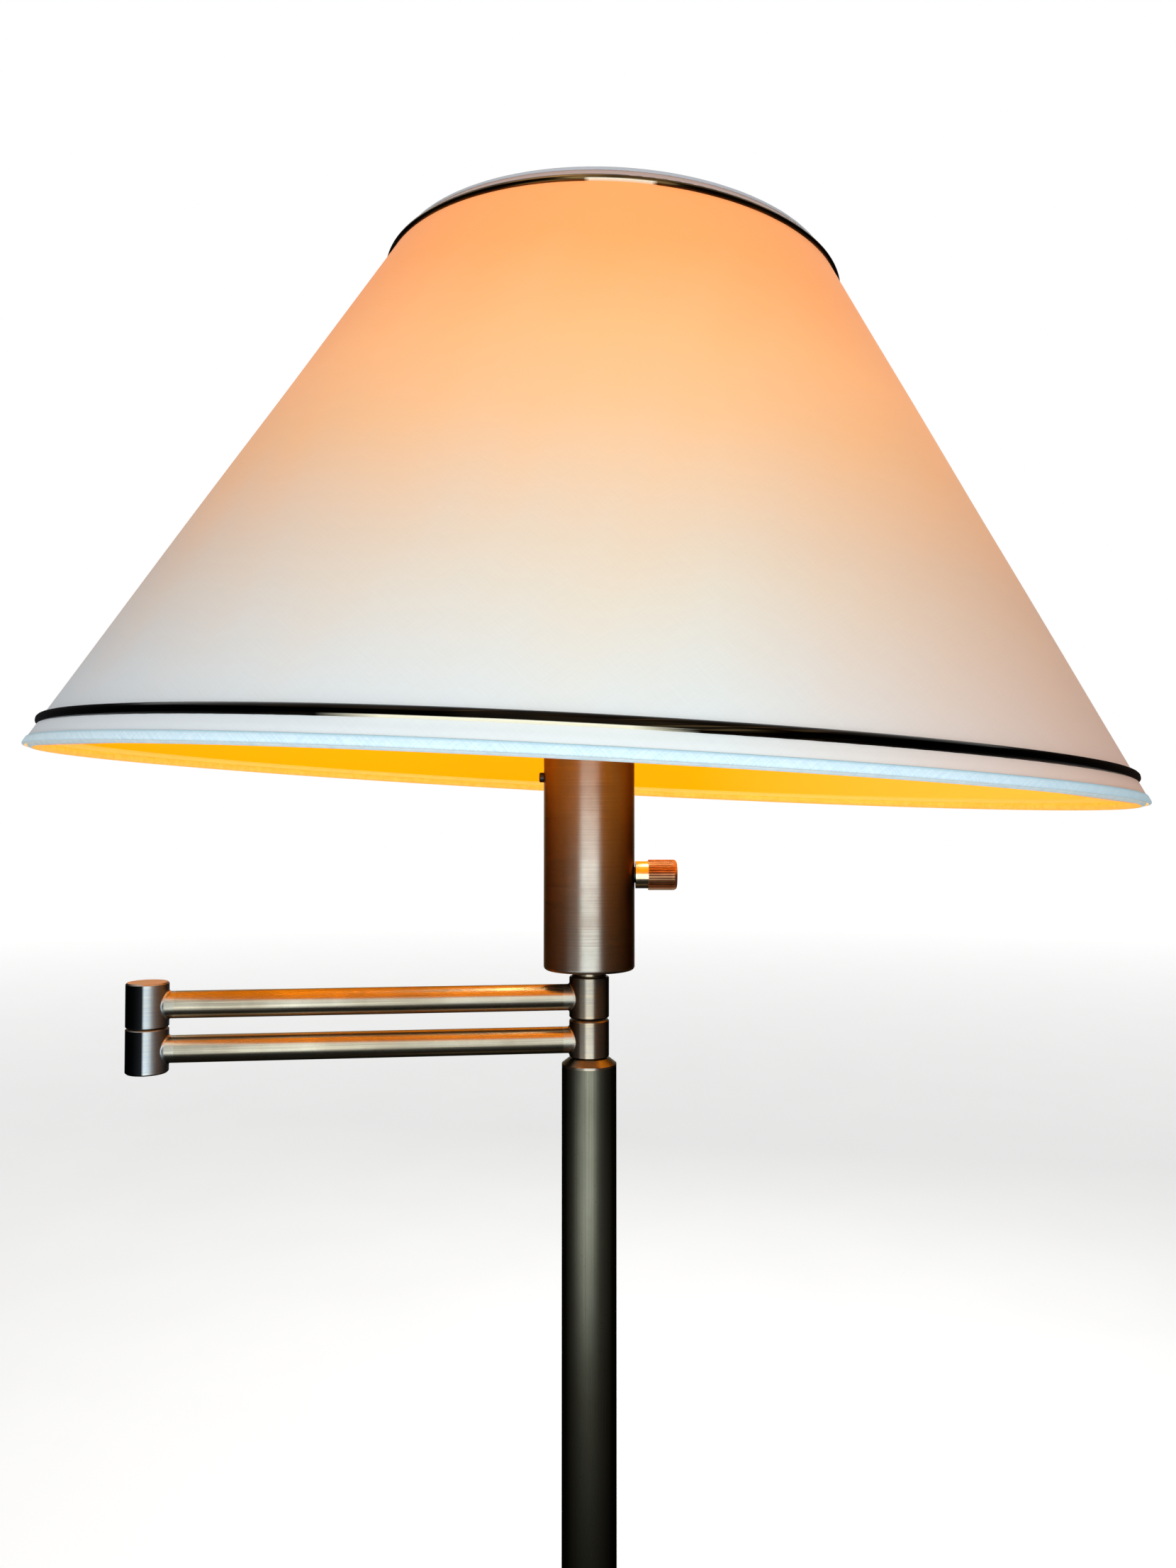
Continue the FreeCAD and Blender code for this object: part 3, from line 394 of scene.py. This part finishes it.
def housing_painted_shade(shader, colour):
    """Painted shade on the housing's right side, and a painted shadow of the lampshade on its top."""
    rightward = shader.toward((1, 0, 0))
    colour = shader.mix(shader.span(rightward, 0.1, 0.85, 0.0, 0.7), colour, tone(40, 26, 14))
    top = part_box("socket_housing")[1].z
    painted_shadow = shader.span(shader.parts()["Z"], top - PAINTED_SHADOW_HEIGHT, top, 0.0, 0.4)
    return shader.mix(painted_shadow, colour, tone(60, 40, 20))


def knob_material():
    """The knob: a bright smooth collar, and a darker knurled barrel that turns paler at its end."""
    shader = Shader("knob_brass")
    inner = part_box("dimmer_knob")[0].x
    out = shader.sum("SUBTRACT", shader.parts()["X"], inner)
    barrel = shader.span(out, *KNOB_BARREL, 0.0, 1.0)
    end = shader.span(out, *KNOB_END, 0.0, 0.8)
    cloud = shader.noise((160, 300, 300), 3.0, 0.5)
    dark = shader.ramp(cloud, (0.3, tone(140, 98, 68)), (0.7, tone(172, 124, 88)))
    bright = shader.ramp(cloud, (0.3, tone(214, 190, 150)), (0.7, tone(236, 216, 178)))
    colour = shader.mix(end, shader.mix(barrel, bright, dark), tone(206, 150, 104))
    rubbed = shader.sum("MULTIPLY", shader.edges(KNOB_WEAR), 0.4)
    colour = shader.mix(rubbed, colour, tone(226, 184, 130))
    rough = shader.span(barrel, 0.0, 1.0, 0.22, 0.36)
    shader.set(base_color=colour, roughness=rough, metallic=1.0)
    shader.bump(shader.noise((200, 2600, 2600), 2.0, 0.5), 0.12, KNURL_DEPTH)
    return shader.material


def plain_metal(name, low, high, roughness, cells=400.0):
    """Plated or bare metal with a fine uneven tone."""
    shader = Shader(name)
    cloud = shader.noise((cells / 8,) * 3, 4.0, 0.6)
    grain = shader.noise((cells * 4, cells * 4, cells / 4), 3.0, 0.6)
    colour = shader.ramp(cloud, (0.3, low), (0.7, high))
    colour = shader.mix(shader.edges(METAL_WEAR), colour, high)
    rough = shader.span(grain, 0.3, 0.7, roughness + 0.08, roughness - 0.05)
    shader.set(base_color=colour, roughness=rough, metallic=1.0)
    shader.bump(grain, 0.2, STRAND_DEPTH)
    return shader.material


def dull(name, low, high, roughness, cells, depth, stretch=1.0):
    """Cast, moulded or fibrous stuff with a grain that also stands in relief."""
    shader = Shader(name)
    grain = shader.noise((cells, cells * stretch, cells), 5.0, 0.65)
    cloud = shader.noise((cells / 20,) * 3, 3.0, 0.5)
    colour = shader.ramp(grain, (0.3, low), (0.72, high))
    colour = shader.mix(shader.span(cloud, 0.35, 0.7, 0.0, 0.4), colour, low)
    rough = shader.span(cloud, 0.3, 0.7, roughness - 0.06, roughness + 0.06)
    shader.set(base_color=colour, roughness=rough)
    shader.bump(grain, 0.5, depth)
    return shader.material


def glass_material():
    """Opal glass of a lit lamp: pale and glowing, dimmer at its neck."""
    shader = Shader("opal_glass")
    low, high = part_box("bulb_glass")
    rise = shader.span(shader.parts()["Z"], low.z, high.z, 0.0, 1.0)
    cloud = shader.noise((60, 60, 60), 2.0, 0.5)
    stops = (0.0, tone(244, 170, 84)), (0.45, tone(255, 226, 170)), (1.0, tone(255, 236, 196))
    glow = shader.ramp(rise, *stops)
    colour = shader.mix(shader.span(cloud, 0.3, 0.7, 0.0, 0.2), glow, tone(240, 214, 170))
    shader.set(base_color=colour, emission_color=glow, emission_strength=0.9, roughness=0.28)
    shader.set(subsurface_weight=0.1, coat_weight=0.4)
    return shader.material


# Brass on everything that is seen of the stand, the arms and the head
HOUSING_PALETTE = tone(146, 138, 124), tone(176, 174, 164), tone(200, 192, 172)
ARM_PALETTE = tone(138, 128, 110), ARM_BODY, tone(200, 180, 144)
TURNED_PALETTE = tone(144, 138, 126), tone(178, 176, 168), tone(216, 180, 120)
# The elbow's palette is the knuckles' brass retoned cooler for the light on the elbow: painted light
ELBOW_PALETTE = tone(150, 156, 158), tone(180, 188, 194), tone(216, 204, 172)
POLE_PALETTE = tone(84, 82, 68), tone(114, 113, 98), tone(140, 130, 104)
BASE_PALETTE = tone(84, 80, 64), tone(114, 108, 88), tone(150, 132, 98)

elbow = middle("lower_elbow")
arm_turn = math.atan2(elbow.y, elbow.x)
turned_finish = TURNED_PALETTE, 0.29, (40, 40, 2400)
# Painted shade on the sides of the knuckles and collars that turn from the viewer
turned_flank_shade = tone(58, 48, 40)

give(
    aged_brass(
        "housing_brass", HOUSING_PALETTE, 0.31, (30, 30, 2600),
        spread=0.25, flank_shade=tone(172, 126, 74), painted_tones=housing_painted_shade,
    ),
    "socket_housing",
)
give(
    aged_brass("arm_brass", ARM_PALETTE, ARM_ROUGHNESS, (14, 2600, 2600), arm_turn, relief=0.06),
    "lower_arm_tube", "upper_arm_tube",
)
give(
    aged_brass("knuckle_brass", *turned_finish, spread=0.25, flank_shade=turned_flank_shade, barrel=(0, 0)),
    "lower_hub", "lower_hub_cap", "upper_hub", "upper_hub_cap",
)
give(
    aged_brass("collar_brass", *turned_finish, spread=0.25, flank_shade=turned_flank_shade),
    "pole_cap", "neck_collar",
)
give(
    aged_brass(
        "elbow_brass", ELBOW_PALETTE, 0.38, (40, 40, 2400),
        flank_shade=tone(66, 62, 60), painted_tones=elbow_painted_light, barrel=middle("elbow_pivot"),
    ),
    "lower_elbow", "lower_elbow_cap", "upper_elbow", "upper_elbow_cap",
)
give(
    aged_brass(
        "pole_brass", POLE_PALETTE, 0.32, (2400, 2400, 8),
        patch=14.0, spread=0.0, flank_shade=tone(34, 32, 26),
    ),
    "pole_tube", "pole_foot_plug",
)
give(aged_brass("base_brass", BASE_PALETTE, 0.36, (220, 220, 2400), patch=12.0), "base_cover")
give(knob_material(), "dimmer_knob")

# The metal, plastic and glass inside
give(
    plain_metal("zinc_steel", tone(128, 130, 132), tone(188, 190, 194), 0.34),
    "base_nipple", "base_washer", "base_nut", "pole_pivot", "pole_pivot_nuts", "elbow_pivot",
    "elbow_pivot_nuts", "head_pivot", "head_pivot_nuts", "pole_wave_washer", "elbow_wave_washer",
    "head_wave_washer", "knob_shaft",
)
give(
    plain_metal("contact_brass", tone(150, 116, 56), tone(214, 178, 104), 0.28),
    "screw_shell", "holder_contact",
)
give(plain_metal("bulb_cap", tone(150, 150, 150), tone(206, 206, 204), 0.3), "bulb_cap")
# Dark friction washers; their darkness also stands for the shadow in the gaps between the knuckles, so
# partly painted shade
give(
    plain_metal("friction_washer_and_gap_shade", tone(54, 42, 26), tone(92, 72, 42), 0.5),
    "pole_friction_washer", "elbow_friction_washer", "head_friction_washer",
)
give(dull("cast_iron", tone(36, 36, 38), tone(74, 74, 76), 0.7, 700, 0.0003), "base_weight")
give(dull("felt", tone(14, 14, 14), tone(40, 40, 40), 0.95, 1600, 0.0003, stretch=0.3), "felt_pad")
give(
    dull("black_plastic", tone(10, 10, 10), tone(30, 30, 31), 0.42, 1800, 0.00003),
    "cord_gland", "lamp_holder", "dimmer", "set_screw", "lower_shade_ring", "upper_shade_ring",
)
give(
    dull("wire_sheath", tone(206, 200, 186), tone(228, 224, 212), 0.4, 900, 0.00002),
    "pole_wire", "lower_arm_wire", "upper_arm_wire", "dimmer_wire", "socket_wire",
)
give(
    dull("white_enamel", tone(206, 204, 196), tone(226, 224, 216), 0.3, 600, 0.00003),
    "fitter_ring", "spider_arms",
)
give(glass_material(), "bulb_glass")

# The shade's own frame: origin at the middle of its lower edge, Z along its axis
axis = (middle("top_hoop") - middle("bottom_hoop")).normalized()
away = Vector((0, 1, 0))
across = away.cross(axis).normalized()
rim_middle = middle("fitter_ring") - axis * RIM_BELOW_FITTER
shade_turn = Matrix((across, away, axis)).transposed().to_4x4()
SHADE = Matrix.Translation(rim_middle) @ shade_turn


def shade_ways(shader):
    """Up the shade and across it: 0 to 1 upward, and -1 to 1 from its left to its right."""
    turned = shader.add("ShaderNodeMapping", vector_type="TEXTURE")
    turned.inputs["Location"].default_value = rim_middle
    turned.inputs["Rotation"].default_value = SHADE.to_euler()
    shader.feed(turned.inputs["Vector"], shader.place)
    parts = shader.parts(turned.outputs[0])
    rise = shader.span(parts["Z"], 0.0, SHADE_HEIGHT, 0.0, 1.0)
    return rise, shader.sum("DIVIDE", parts["X"], RIM_RADIUS)


def weave(shader, strength):
    """Adds the relief of fine threads and faint creases, on the flat cut, and returns both."""
    flat = shader.add("ShaderNodeUVMap", uv_map="flat_cut").outputs["UV"]
    warp = shader.noise((2200, 60, 1), 2.0, 0.6, place=flat)
    weft = shader.noise((60, 2200, 1), 2.0, 0.6, place=flat)
    threads = shader.sum("ADD", warp, weft)
    creases = shader.noise((34, 9, 1), 2.0, 0.5, turned=0.5, place=flat)
    shader.bump(threads, strength, THREAD_DEPTH)
    shader.bump(creases, 0.3, CREASE_DEPTH)
    return shader.span(threads, 0.75, 1.25, 0.0, 1.0), creases


def cloth_material():
    """The shade's outer cloth with the lamp on, its glow painted into colour and emission: apricot
    near the top, pale grey white low down.
    """
    shader = Shader("shade_cloth")
    rise, side = shade_ways(shader)
    threads, creases = weave(shader, 0.35)
    # 1 on the lit cloth, 0 on the rosy strip above the top trim
    lit = shader.span(rise, *ROSY_STRIP, 1.0, 0.0)
    rise = shader.sum("ADD", rise, shader.span(creases, 0.3, 0.7, -0.02, 0.02))

    body = shader.ramp(
        rise,
        (0.04, tone(223, 223, 218)), (0.22, tone(225, 212, 192)),
        (0.5, tone(230, 186, 139)), (0.85, tone(232, 157, 90)),
    )
    # Painted light: the cloth cooler and rosier on the left, more orange on the right
    left = shader.ramp(
        rise, (0.1, tone(196, 202, 220)), (0.45, tone(206, 148, 124)), (0.9, tone(184, 108, 76))
    )
    body = shader.mix(shader.span(side, -0.85, 0.0, 0.36, 0.0), body, left)
    body = shader.mix(shader.span(side, 0.15, 0.95, 0.0, 0.72), body, tone(232, 142, 74))
    body = shader.mix(shader.span(threads, 0.0, 1.0, 0.0, 0.08), body, tone(190, 176, 170))
    body = shader.mix(lit, tone(206, 172, 158), body)

    glow = shader.ramp(
        rise,
        (0.06, tone(0, 0, 0)), (0.3, tone(84, 50, 22)),
        (0.65, tone(166, 98, 36)), (1.0, tone(176, 92, 30)),
    )
    shader.set(base_color=body, roughness=0.85, emission_color=glow, emission_strength=lit)
    shader.set(sheen_weight=0.15, sheen_roughness=0.5, specular_ior_level=0.2)
    return shader.material


def lining_material():
    """The shade's inside, lit deep yellow by the bulb."""
    shader = Shader("shade_lining")
    rise, side = shade_ways(shader)
    threads, _ = weave(shader, 0.15)
    body = shader.ramp(
        rise, (0.0, tone(240, 160, 0)), (0.5, tone(248, 168, 4)), (1.0, tone(252, 200, 110))
    )
    body = shader.mix(shader.span(threads, 0.0, 1.0, 0.0, 0.1), body, tone(220, 140, 10))
    glow = shader.ramp(
        rise, (0.0, tone(240, 146, 0)), (0.6, tone(250, 164, 2)), (1.0, tone(250, 186, 80))
    )
    glow = shader.mix(shader.span(side, 0.3, 0.95, 0.0, 0.5), glow, tone(250, 200, 100))
    shader.set(base_color=body, roughness=0.8, emission_color=glow, emission_strength=0.8)
    shader.set(specular_ior_level=0.1)
    return shader.material


def hem_material(name, low, high, shade_tone):
    """The folded cloth edge, with a painted shadow where the fold ends and painted shade toward the
    lampshade's right.
    """
    shader = Shader(name)
    rise, side = shade_ways(shader)
    threads, _ = weave(shader, 0.4)
    body = shader.mix(threads, low, high)
    # Painted shadow at the fold, then painted shade toward the right
    body = shader.mix(shader.span(rise, *FOLD_SHADOW, 0.0, 0.6), body, shade_tone)
    body = shader.mix(shader.span(side, 0.5, 0.98, 0.0, 0.6), body, shade_tone)
    shader.set(base_color=body, roughness=0.8, sheen_weight=0.15)
    return shader.material


def fold_material():
    """The inner half of the folded edge, lit from within: peach at its edge, yellow further in."""
    shader = Shader("shade_fold")
    rise, _ = shade_ways(shader)
    threads, _ = weave(shader, 0.3)
    lit = shader.ramp(
        rise, (0.0, tone(250, 200, 130)), (0.02, tone(250, 180, 50)), (0.9, tone(250, 214, 150))
    )
    body = shader.mix(shader.span(threads, 0.0, 1.0, 0.0, 0.15), lit, tone(226, 160, 70))
    shader.set(base_color=body, roughness=0.8, emission_color=lit, emission_strength=0.55)
    return shader.material


def hoop_material():
    """The hoops, taped with cloth: pale where they face out of the shade, lit yellow inside."""
    shader = Shader("hoop_tape")
    outward = shader.toward(shader.level(rim_middle))
    cloud = shader.noise((300, 300, 300), 3.0, 0.6)
    pale = shader.ramp(cloud, (0.3, tone(204, 224, 232)), (0.7, tone(222, 238, 242)))
    lit = shader.ramp(cloud, (0.3, tone(240, 176, 60)), (0.7, tone(250, 190, 84)))
    body = shader.mix(shader.span(outward, -0.02, 0.04, 0.0, 1.0), lit, pale)
    strength = shader.span(outward, -0.02, 0.04, 0.5, 0.0)
    shader.set(base_color=body, roughness=0.7, emission_color=lit, emission_strength=strength)
    shader.bump(shader.noise((1800, 1800, 1800), 2.0, 0.6), 0.3, TAPE_DEPTH)
    return shader.material


def trim_material(name, low, high, gold, highlight_sides, highlight_below, fade):
    """Glossy dark strip with streaks of gold, and a pale painted highlight on one stretch of its lower
    half.
    """
    shader = Shader(name)
    rise, side = shade_ways(shader)
    cloud = shader.noise((40, 40, 40), 3.0, 0.5)
    streak = shader.noise((14, 14, 900), 2.0, 0.5)
    colour = shader.ramp(cloud, (0.4, low), (0.8, high))
    colour = shader.mix(shader.span(streak, 0.6, 0.72, 0.0, 0.6), colour, gold)

    # Painted highlight: the mask is 1 on one stretch of the lower half, where the strip turns pale
    left, right = highlight_sides
    begun = shader.span(side, left - fade, left, 0.0, 1.0)
    ended = shader.span(side, right, right + fade, 1.0, 0.0)
    lower = shader.span(rise, highlight_below - 0.001, highlight_below, 1.0, 0.0)
    worn = shader.sum("MULTIPLY", shader.sum("MULTIPLY", begun, ended), lower)
    colour = shader.mix(worn, colour, tone(236, 224, 194))

    gloss = shader.span(cloud, 0.3, 0.7, 0.1, 0.2)
    metal = shader.span(worn, 0.0, 1.0, 1.0, 0.0)
    shader.set(base_color=colour, roughness=gloss, metallic=metal)
    shader.bump(cloud, 0.25, TRIM_DEPTH)
    return shader.material


give(hoop_material(), "bottom_hoop", "top_hoop")
give(
    trim_material(
        "low_trim", tone(7, 5, 4), tone(24, 17, 9), tone(96, 74, 44),
        highlight_sides=(-0.24, 0.05), highlight_below=0.0365, fade=0.08,
    ),
    "bottom_trim",
)
# The top trim is the same strip as the low one, given lighter golden tones for the light on its top:
# painted light
give(
    trim_material(
        "high_trim", tone(64, 46, 26), tone(124, 92, 52), tone(150, 116, 64),
        highlight_sides=(-0.045, 0.055), highlight_below=0.9708, fade=0.01,
    ),
    "top_trim",
)
cloth = cloth_material()
lining = lining_material()
# Both hems are one binding cloth, toned cool low down and rosy at the top for the light on each:
# painted light
low_binding = hem_material(
    "low_binding", tone(200, 222, 232), tone(222, 238, 242), tone(150, 192, 204)
)
high_binding = hem_material(
    "high_binding", tone(192, 184, 182), tone(206, 198, 194), tone(186, 190, 196)
)
fold_cloth = fold_material()


def shade_point(turn, along, outward):
    """A point by its angle round the shade, its way up the slant and its height off the cloth."""
    radius = RIM_RADIUS - along * CONE_SINE + outward * CONE_COSINE
    height = along * CONE_COSINE + outward * CONE_SINE
    return SHADE @ Vector((radius * math.cos(turn), radius * math.sin(turn), height))


def shade_mesh(name, section, materials, steps=ROUND, start=0.0, sweep=FULL_TURN):
    """Turns a closed section of (along, outward, material index) round the shade into a mesh.

    section is a function of the angle. Less than a full turn gets flat ends. UV is the flat cut."""
    whole = sweep == FULL_TURN
    columns = steps if whole else steps + 1

    def turn_of(column):
        return start + sweep * column / steps

    rings = [section(turn_of(column)) for column in range(columns)]
    points = [
        shade_point(turn_of(column), along, outward)
        for column, ring in enumerate(rings)
        for along, outward, _ in ring
    ]
    along_of = [along for along, _, _ in rings[0]]
    kind_of = [kind for _, _, kind in rings[0]]
    rows = len(along_of)

    faces, kinds, corners = [], [], []
    for i in range(steps):
        near = i * rows
        far = (i + 1) % columns * rows
        for j in range(rows):
            k = (j + 1) % rows
            faces.append((near + j, far + j, far + k, near + k))
            kinds.append(kind_of[j])
            corners.append(((i, j), (i + 1, j), (i + 1, k), (i, k)))
    if not whole:
        for i, order in ((0, list(range(rows))), (steps, list(reversed(range(rows))))):
            faces.append([i * rows + j for j in order])
            kinds.append(0)
            corners.append([(i, j) for j in order])

    mesh = mesh_of(name, points, faces)
    for material in materials:
        mesh.materials.append(material)
    uv = mesh.uv_layers.new(name="flat_cut")
    for polygon, kind, spots in zip(mesh.polygons, kinds, corners):
        polygon.material_index = kind
        polygon.use_smooth = True
        for loop, (i, j) in zip(polygon.loop_indices, spots):
            swing = turn_of(i) * CONE_SINE
            reach = RIM_FROM_APEX - along_of[j]
            uv.data[loop].uv = (reach * math.cos(swing), reach * math.sin(swing))
    return put(name, mesh)


def ripple(turn, along):
    """How far the cloth stands off a true cone, for the slight unevenness of a glued shade."""
    wave = RIPPLES_ROUND * math.cos(turn), RIPPLES_ROUND * math.sin(turn), RIPPLES_ALONG * along
    hold = math.sin(math.pi * min(max(along / SLANT, 0.0), 1.0))
    return UNEVENNESS * noise.noise(wave) * hold


def cloth_section(turn):
    """Up the outside from edge to edge, and down the inside."""
    ways = [SLANT * k / ROWS for k in range(ROWS + 1)]
    outside = [(a, ripple(turn, a), 0) for a in ways]
    outside[-1] = (ways[-1], 0.0, 1)
    inside = [(a, ripple(turn, a) - SHADE_WALL, 1) for a in reversed(ways)]
    return outside + inside


def hem_section(edge, outside, inside, up):
    """A strip of cloth folded over an edge: thin at its ends, rounded where it turns.

    edge is the edge's way up the slant. up is 1 if the strip rises from it, -1 if it hangs down."""
    def section(turn):
        wave = FRILLS_ROUND * math.cos(turn), FRILLS_ROUND * math.sin(turn), FRILL_SHIFT * edge
        stand = HEM_CLOTH + HEM_FRILL * noise.noise(wave)
        wall = -SHADE_WALL
        under = -HEM_ROUNDING
        points = [
            # Down the outside
            (outside, GLUE_GAP), (outside, stand * 0.6), (outside - HEM_TAPER, stand),
            (outside * 0.5, stand), (0.0006, stand), (0.0, stand * 0.85),
            # Round the edge
            (under, stand * 0.3), (under * 1.4, wall * 0.5), (under, wall - 0.0001),
            # Up the inside
            (0.0004, wall - 0.0003), (inside * 0.5, wall - FOLD_CLOTH),
            (inside - 0.0003, wall - FOLD_CLOTH), (inside, wall - 0.0002),
            # Back along the shade's wall
            (inside, wall - GLUE_GAP), (inside * 0.5, wall - GLUE_GAP),
            (0.00002, wall - GLUE_GAP), (0.00002, GLUE_GAP),
        ]
        return [
            (edge + up * along, outward, int(k >= OUTER_POINTS))
            for k, (along, outward) in enumerate(points)
        ]
    return section


def seam_section(turn):
    """The lap where the cloth's two ends are glued, at the rear."""
    ways = [SEAM_FROM + SEAM_LENGTH * k / SEAM_ROWS for k in range(SEAM_ROWS + 1)]
    outside = [(a, SEAM_STAND + ripple(turn, a), 0) for a in ways]
    return outside + [(a, SEAM_FOOT + ripple(turn, a), 0) for a in reversed(ways)]


shade_cloth = shade_mesh("shade_cloth", cloth_section, (cloth, lining))
low_hem = shade_mesh(
    "shade_hem_low", hem_section(0.0, HEM_LOW, HEM_INSIDE, 1), (low_binding, fold_cloth)
)
high_hem = shade_mesh(
    "shade_hem_high", hem_section(SLANT, HEM_HIGH, HEM_INSIDE, -1), (high_binding, fold_cloth)
)
seam_sweep = SEAM_WIDTH / RIM_RADIUS
seam = shade_mesh(
    "shade_seam", seam_section, (cloth,), SEAM_STEPS, math.pi / 2 - seam_sweep / 2, seam_sweep
)

for piece, node, slot in (
    (shade_cloth, "shade_fabric", "shade_cloth"),
    (low_hem, "bottom_hem", "shade_binding"),
    (high_hem, "top_hem", "shade_binding"),
):
    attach(piece, "head")
    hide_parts(node)
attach(seam, "head")


def stage_floor():
    """A pale floor that keeps the shadow, and that the camera sees fading to white further out."""
    points = [(0.0, 0.0, 0.0)]
    for ring in range(1, FLOOR_RINGS + 1):
        radius = FLOOR_RADIUS * (ring / FLOOR_RINGS) ** FLOOR_GROWTH
        for step in range(FLOOR_STEPS):
            turn = FULL_TURN * step / FLOOR_STEPS
            points.append((radius * math.cos(turn), radius * math.sin(turn), 0.0))
    faces = []
    for k in range(FLOOR_STEPS):
        after = (k + 1) % FLOOR_STEPS
        faces.append((0, 1 + k, 1 + after))
        for ring in range(FLOOR_RINGS - 1):
            inner = 1 + ring * FLOOR_STEPS
            outer = inner + FLOOR_STEPS
            faces.append((inner + k, outer + k, outer + after, inner + after))
    mesh = mesh_of("floor", points, faces)
    floor = put("floor", mesh)
    floor.location.z = -FLOOR_BELOW

    shader = Shader("floor")
    cloud = shader.noise((3, 3, 3), 4.0, 0.5)
    pale = shader.ramp(cloud, (0.3, (0.84, 0.84, 0.83, 1)), (0.7, (0.87, 0.87, 0.86, 1)))
    reach = shader.length(shader.place)
    ray = shader.add("ShaderNodeLightPath").outputs
    # Reflections see the floor dark near the lamp, as the cards are
    hidden = shader.sum("MULTIPLY", ray["Is Glossy Ray"], shader.span(reach, 1.2, 5.0, 0.98, 0.2))
    shader.set(base_color=shader.mix(hidden, pale, (0, 0, 0, 1)), roughness=0.9)
    # The camera sees it grow whiter with distance
    haze = shader.sum("MULTIPLY", ray["Is Camera Ray"], shader.span(reach, 2.5, 14.0, 0.42, 0.75))
    shader.set(specular_ior_level=0.1, emission_color=(1, 1, 1, 1), emission_strength=haze)
    mesh.materials.append(shader.material)


def world():
    """White surroundings for the camera and reflections, and a lower even light on the object."""
    made = bpy.data.worlds.new("studio")
    made.use_nodes = True
    tree = made.node_tree
    tree.nodes.clear()
    ray = tree.nodes.new("ShaderNodeLightPath").outputs
    seen = ray["Is Camera Ray"]
    for key in ("Is Glossy Ray", "Is Transmission Ray"):
        either = tree.nodes.new("ShaderNodeMath")
        either.operation = "MAXIMUM"
        tree.links.new(seen, either.inputs[0])
        tree.links.new(ray[key], either.inputs[1])
        seen = either.outputs[0]
    strength = tree.nodes.new("ShaderNodeMapRange")
    tree.links.new(seen, strength.inputs["Value"])
    strength.inputs["To Min"].default_value = AMBIENT
    strength.inputs["To Max"].default_value = 1.0
    background = tree.nodes.new("ShaderNodeBackground")
    background.inputs["Color"].default_value = (1, 1, 1, 1)
    tree.links.new(strength.outputs["Result"], background.inputs["Strength"])
    output = tree.nodes.new("ShaderNodeOutputWorld")
    tree.links.new(background.outputs[0], output.inputs["Surface"])
    bpy.context.scene.world = made


def area_lamp(name, place, target, size, power, colour, mirrored=True):
    """A rectangular lamp that looks at a target. The camera doesn't see it, reflections may."""
    data = bpy.data.lights.new(name, "AREA")
    data.shape = "RECTANGLE"
    data.size, data.size_y = size
    data.energy = power
    data.color = colour
    lamp = put(name, data)
    lamp.location = place
    lamp.rotation_euler = (Vector(target) - Vector(place)).to_track_quat("-Z", "Y").to_euler()
    lamp.visible_camera = False
    lamp.visible_glossy = mirrored


def card(name, start, stop, colour):
    """A dark curved card beside the lamp that only reflections see, to give the metal its depth."""
    points = []
    for k in range(CARD_STEPS + 1):
        turn = math.radians(start + (stop - start) * k / CARD_STEPS)
        for height in CARD_HEIGHTS:
            points.append((CARD_RADIUS * math.sin(turn), -CARD_RADIUS * math.cos(turn), height))
    faces = [(2 * k, 2 * k + 2, 2 * k + 3, 2 * k + 1) for k in range(CARD_STEPS)]
    mesh = mesh_of(name, points, faces)
    made = put(name, mesh)

    shader = Shader(name)
    cloud = shader.noise((1, 1, 1), 2.0, 0.5)
    dimmer = tuple(0.9 * part for part in colour)
    dim = shader.ramp(cloud, (0.3, dimmer + (1,)), (0.7, colour + (1,)))
    shader.set(base_color=(0, 0, 0, 1), specular_ior_level=0.0)
    shader.set(emission_color=dim, emission_strength=1.0)
    mesh.materials.append(shader.material)
    made.visible_camera = False
    made.visible_diffuse = False
    made.visible_shadow = False
    made.visible_transmission = False


def light_bulb():
    """The light of the lit bulb, which moves with the head."""
    data = bpy.data.lights.new("bulb_light", "POINT")
    data.energy = 1.6
    data.color = (1.0, 0.62, 0.26)
    data.shadow_soft_size = 0.036
    bulb_light = put("bulb_light", data)
    bulb_light.location = middle("bulb_glass")
    bulb_light.visible_camera = False
    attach(bulb_light, "head")


def camera():
    """The photograph's camera."""
    data = bpy.data.cameras.new("camera")
    data.sensor_width = SENSOR
    data.lens = SENSOR * FOCAL_PIXELS / IMAGE_HEIGHT
    data.clip_start = CLIP_START
    made = put("camera", data)
    made.location = CAMERA_PLACE
    made.rotation_euler = (math.pi / 2 + CAMERA_PITCH, 0, 0)
    bpy.context.scene.camera = made
    bpy.context.scene.view_settings.view_transform = "Standard"


stage_floor()
world()
# Each lamp's place, target, width and height, watts and colour
area_lamp("key", (0.03, -0.74, 1.16), (0.03, 0, 1.16), (0.62, 0.96), 4.0, (0.86, 0.98, 1.08))
area_lamp("low", (-0.3, -0.45, 0.84), (-0.12, 0, 1.07), (0.5, 0.2), 0.3, (0.86, 0.98, 1.1))
area_lamp("top", (-0.8, -1.2, 3.4), (0, 0, 1.1), (1.6, 1.6), 14, (1.0, 0.98, 0.95))
area_lamp("rear", (0.5, 2.4, 2.4), (0, 0, 1.1), (1.8, 1.4), 32, (1.0, 0.99, 0.97), mirrored=False)
area_lamp("right", (2.3, 0.6, 1.8), (0, 0, 1.1), (1.4, 1.4), 6, (1.0, 0.99, 0.97), mirrored=False)
card("card_left", -150, 0, (0.02, 0.02, 0.022))
card("card_right", 0, 150, (0.02, 0.014, 0.011))
light_bulb()
camera()
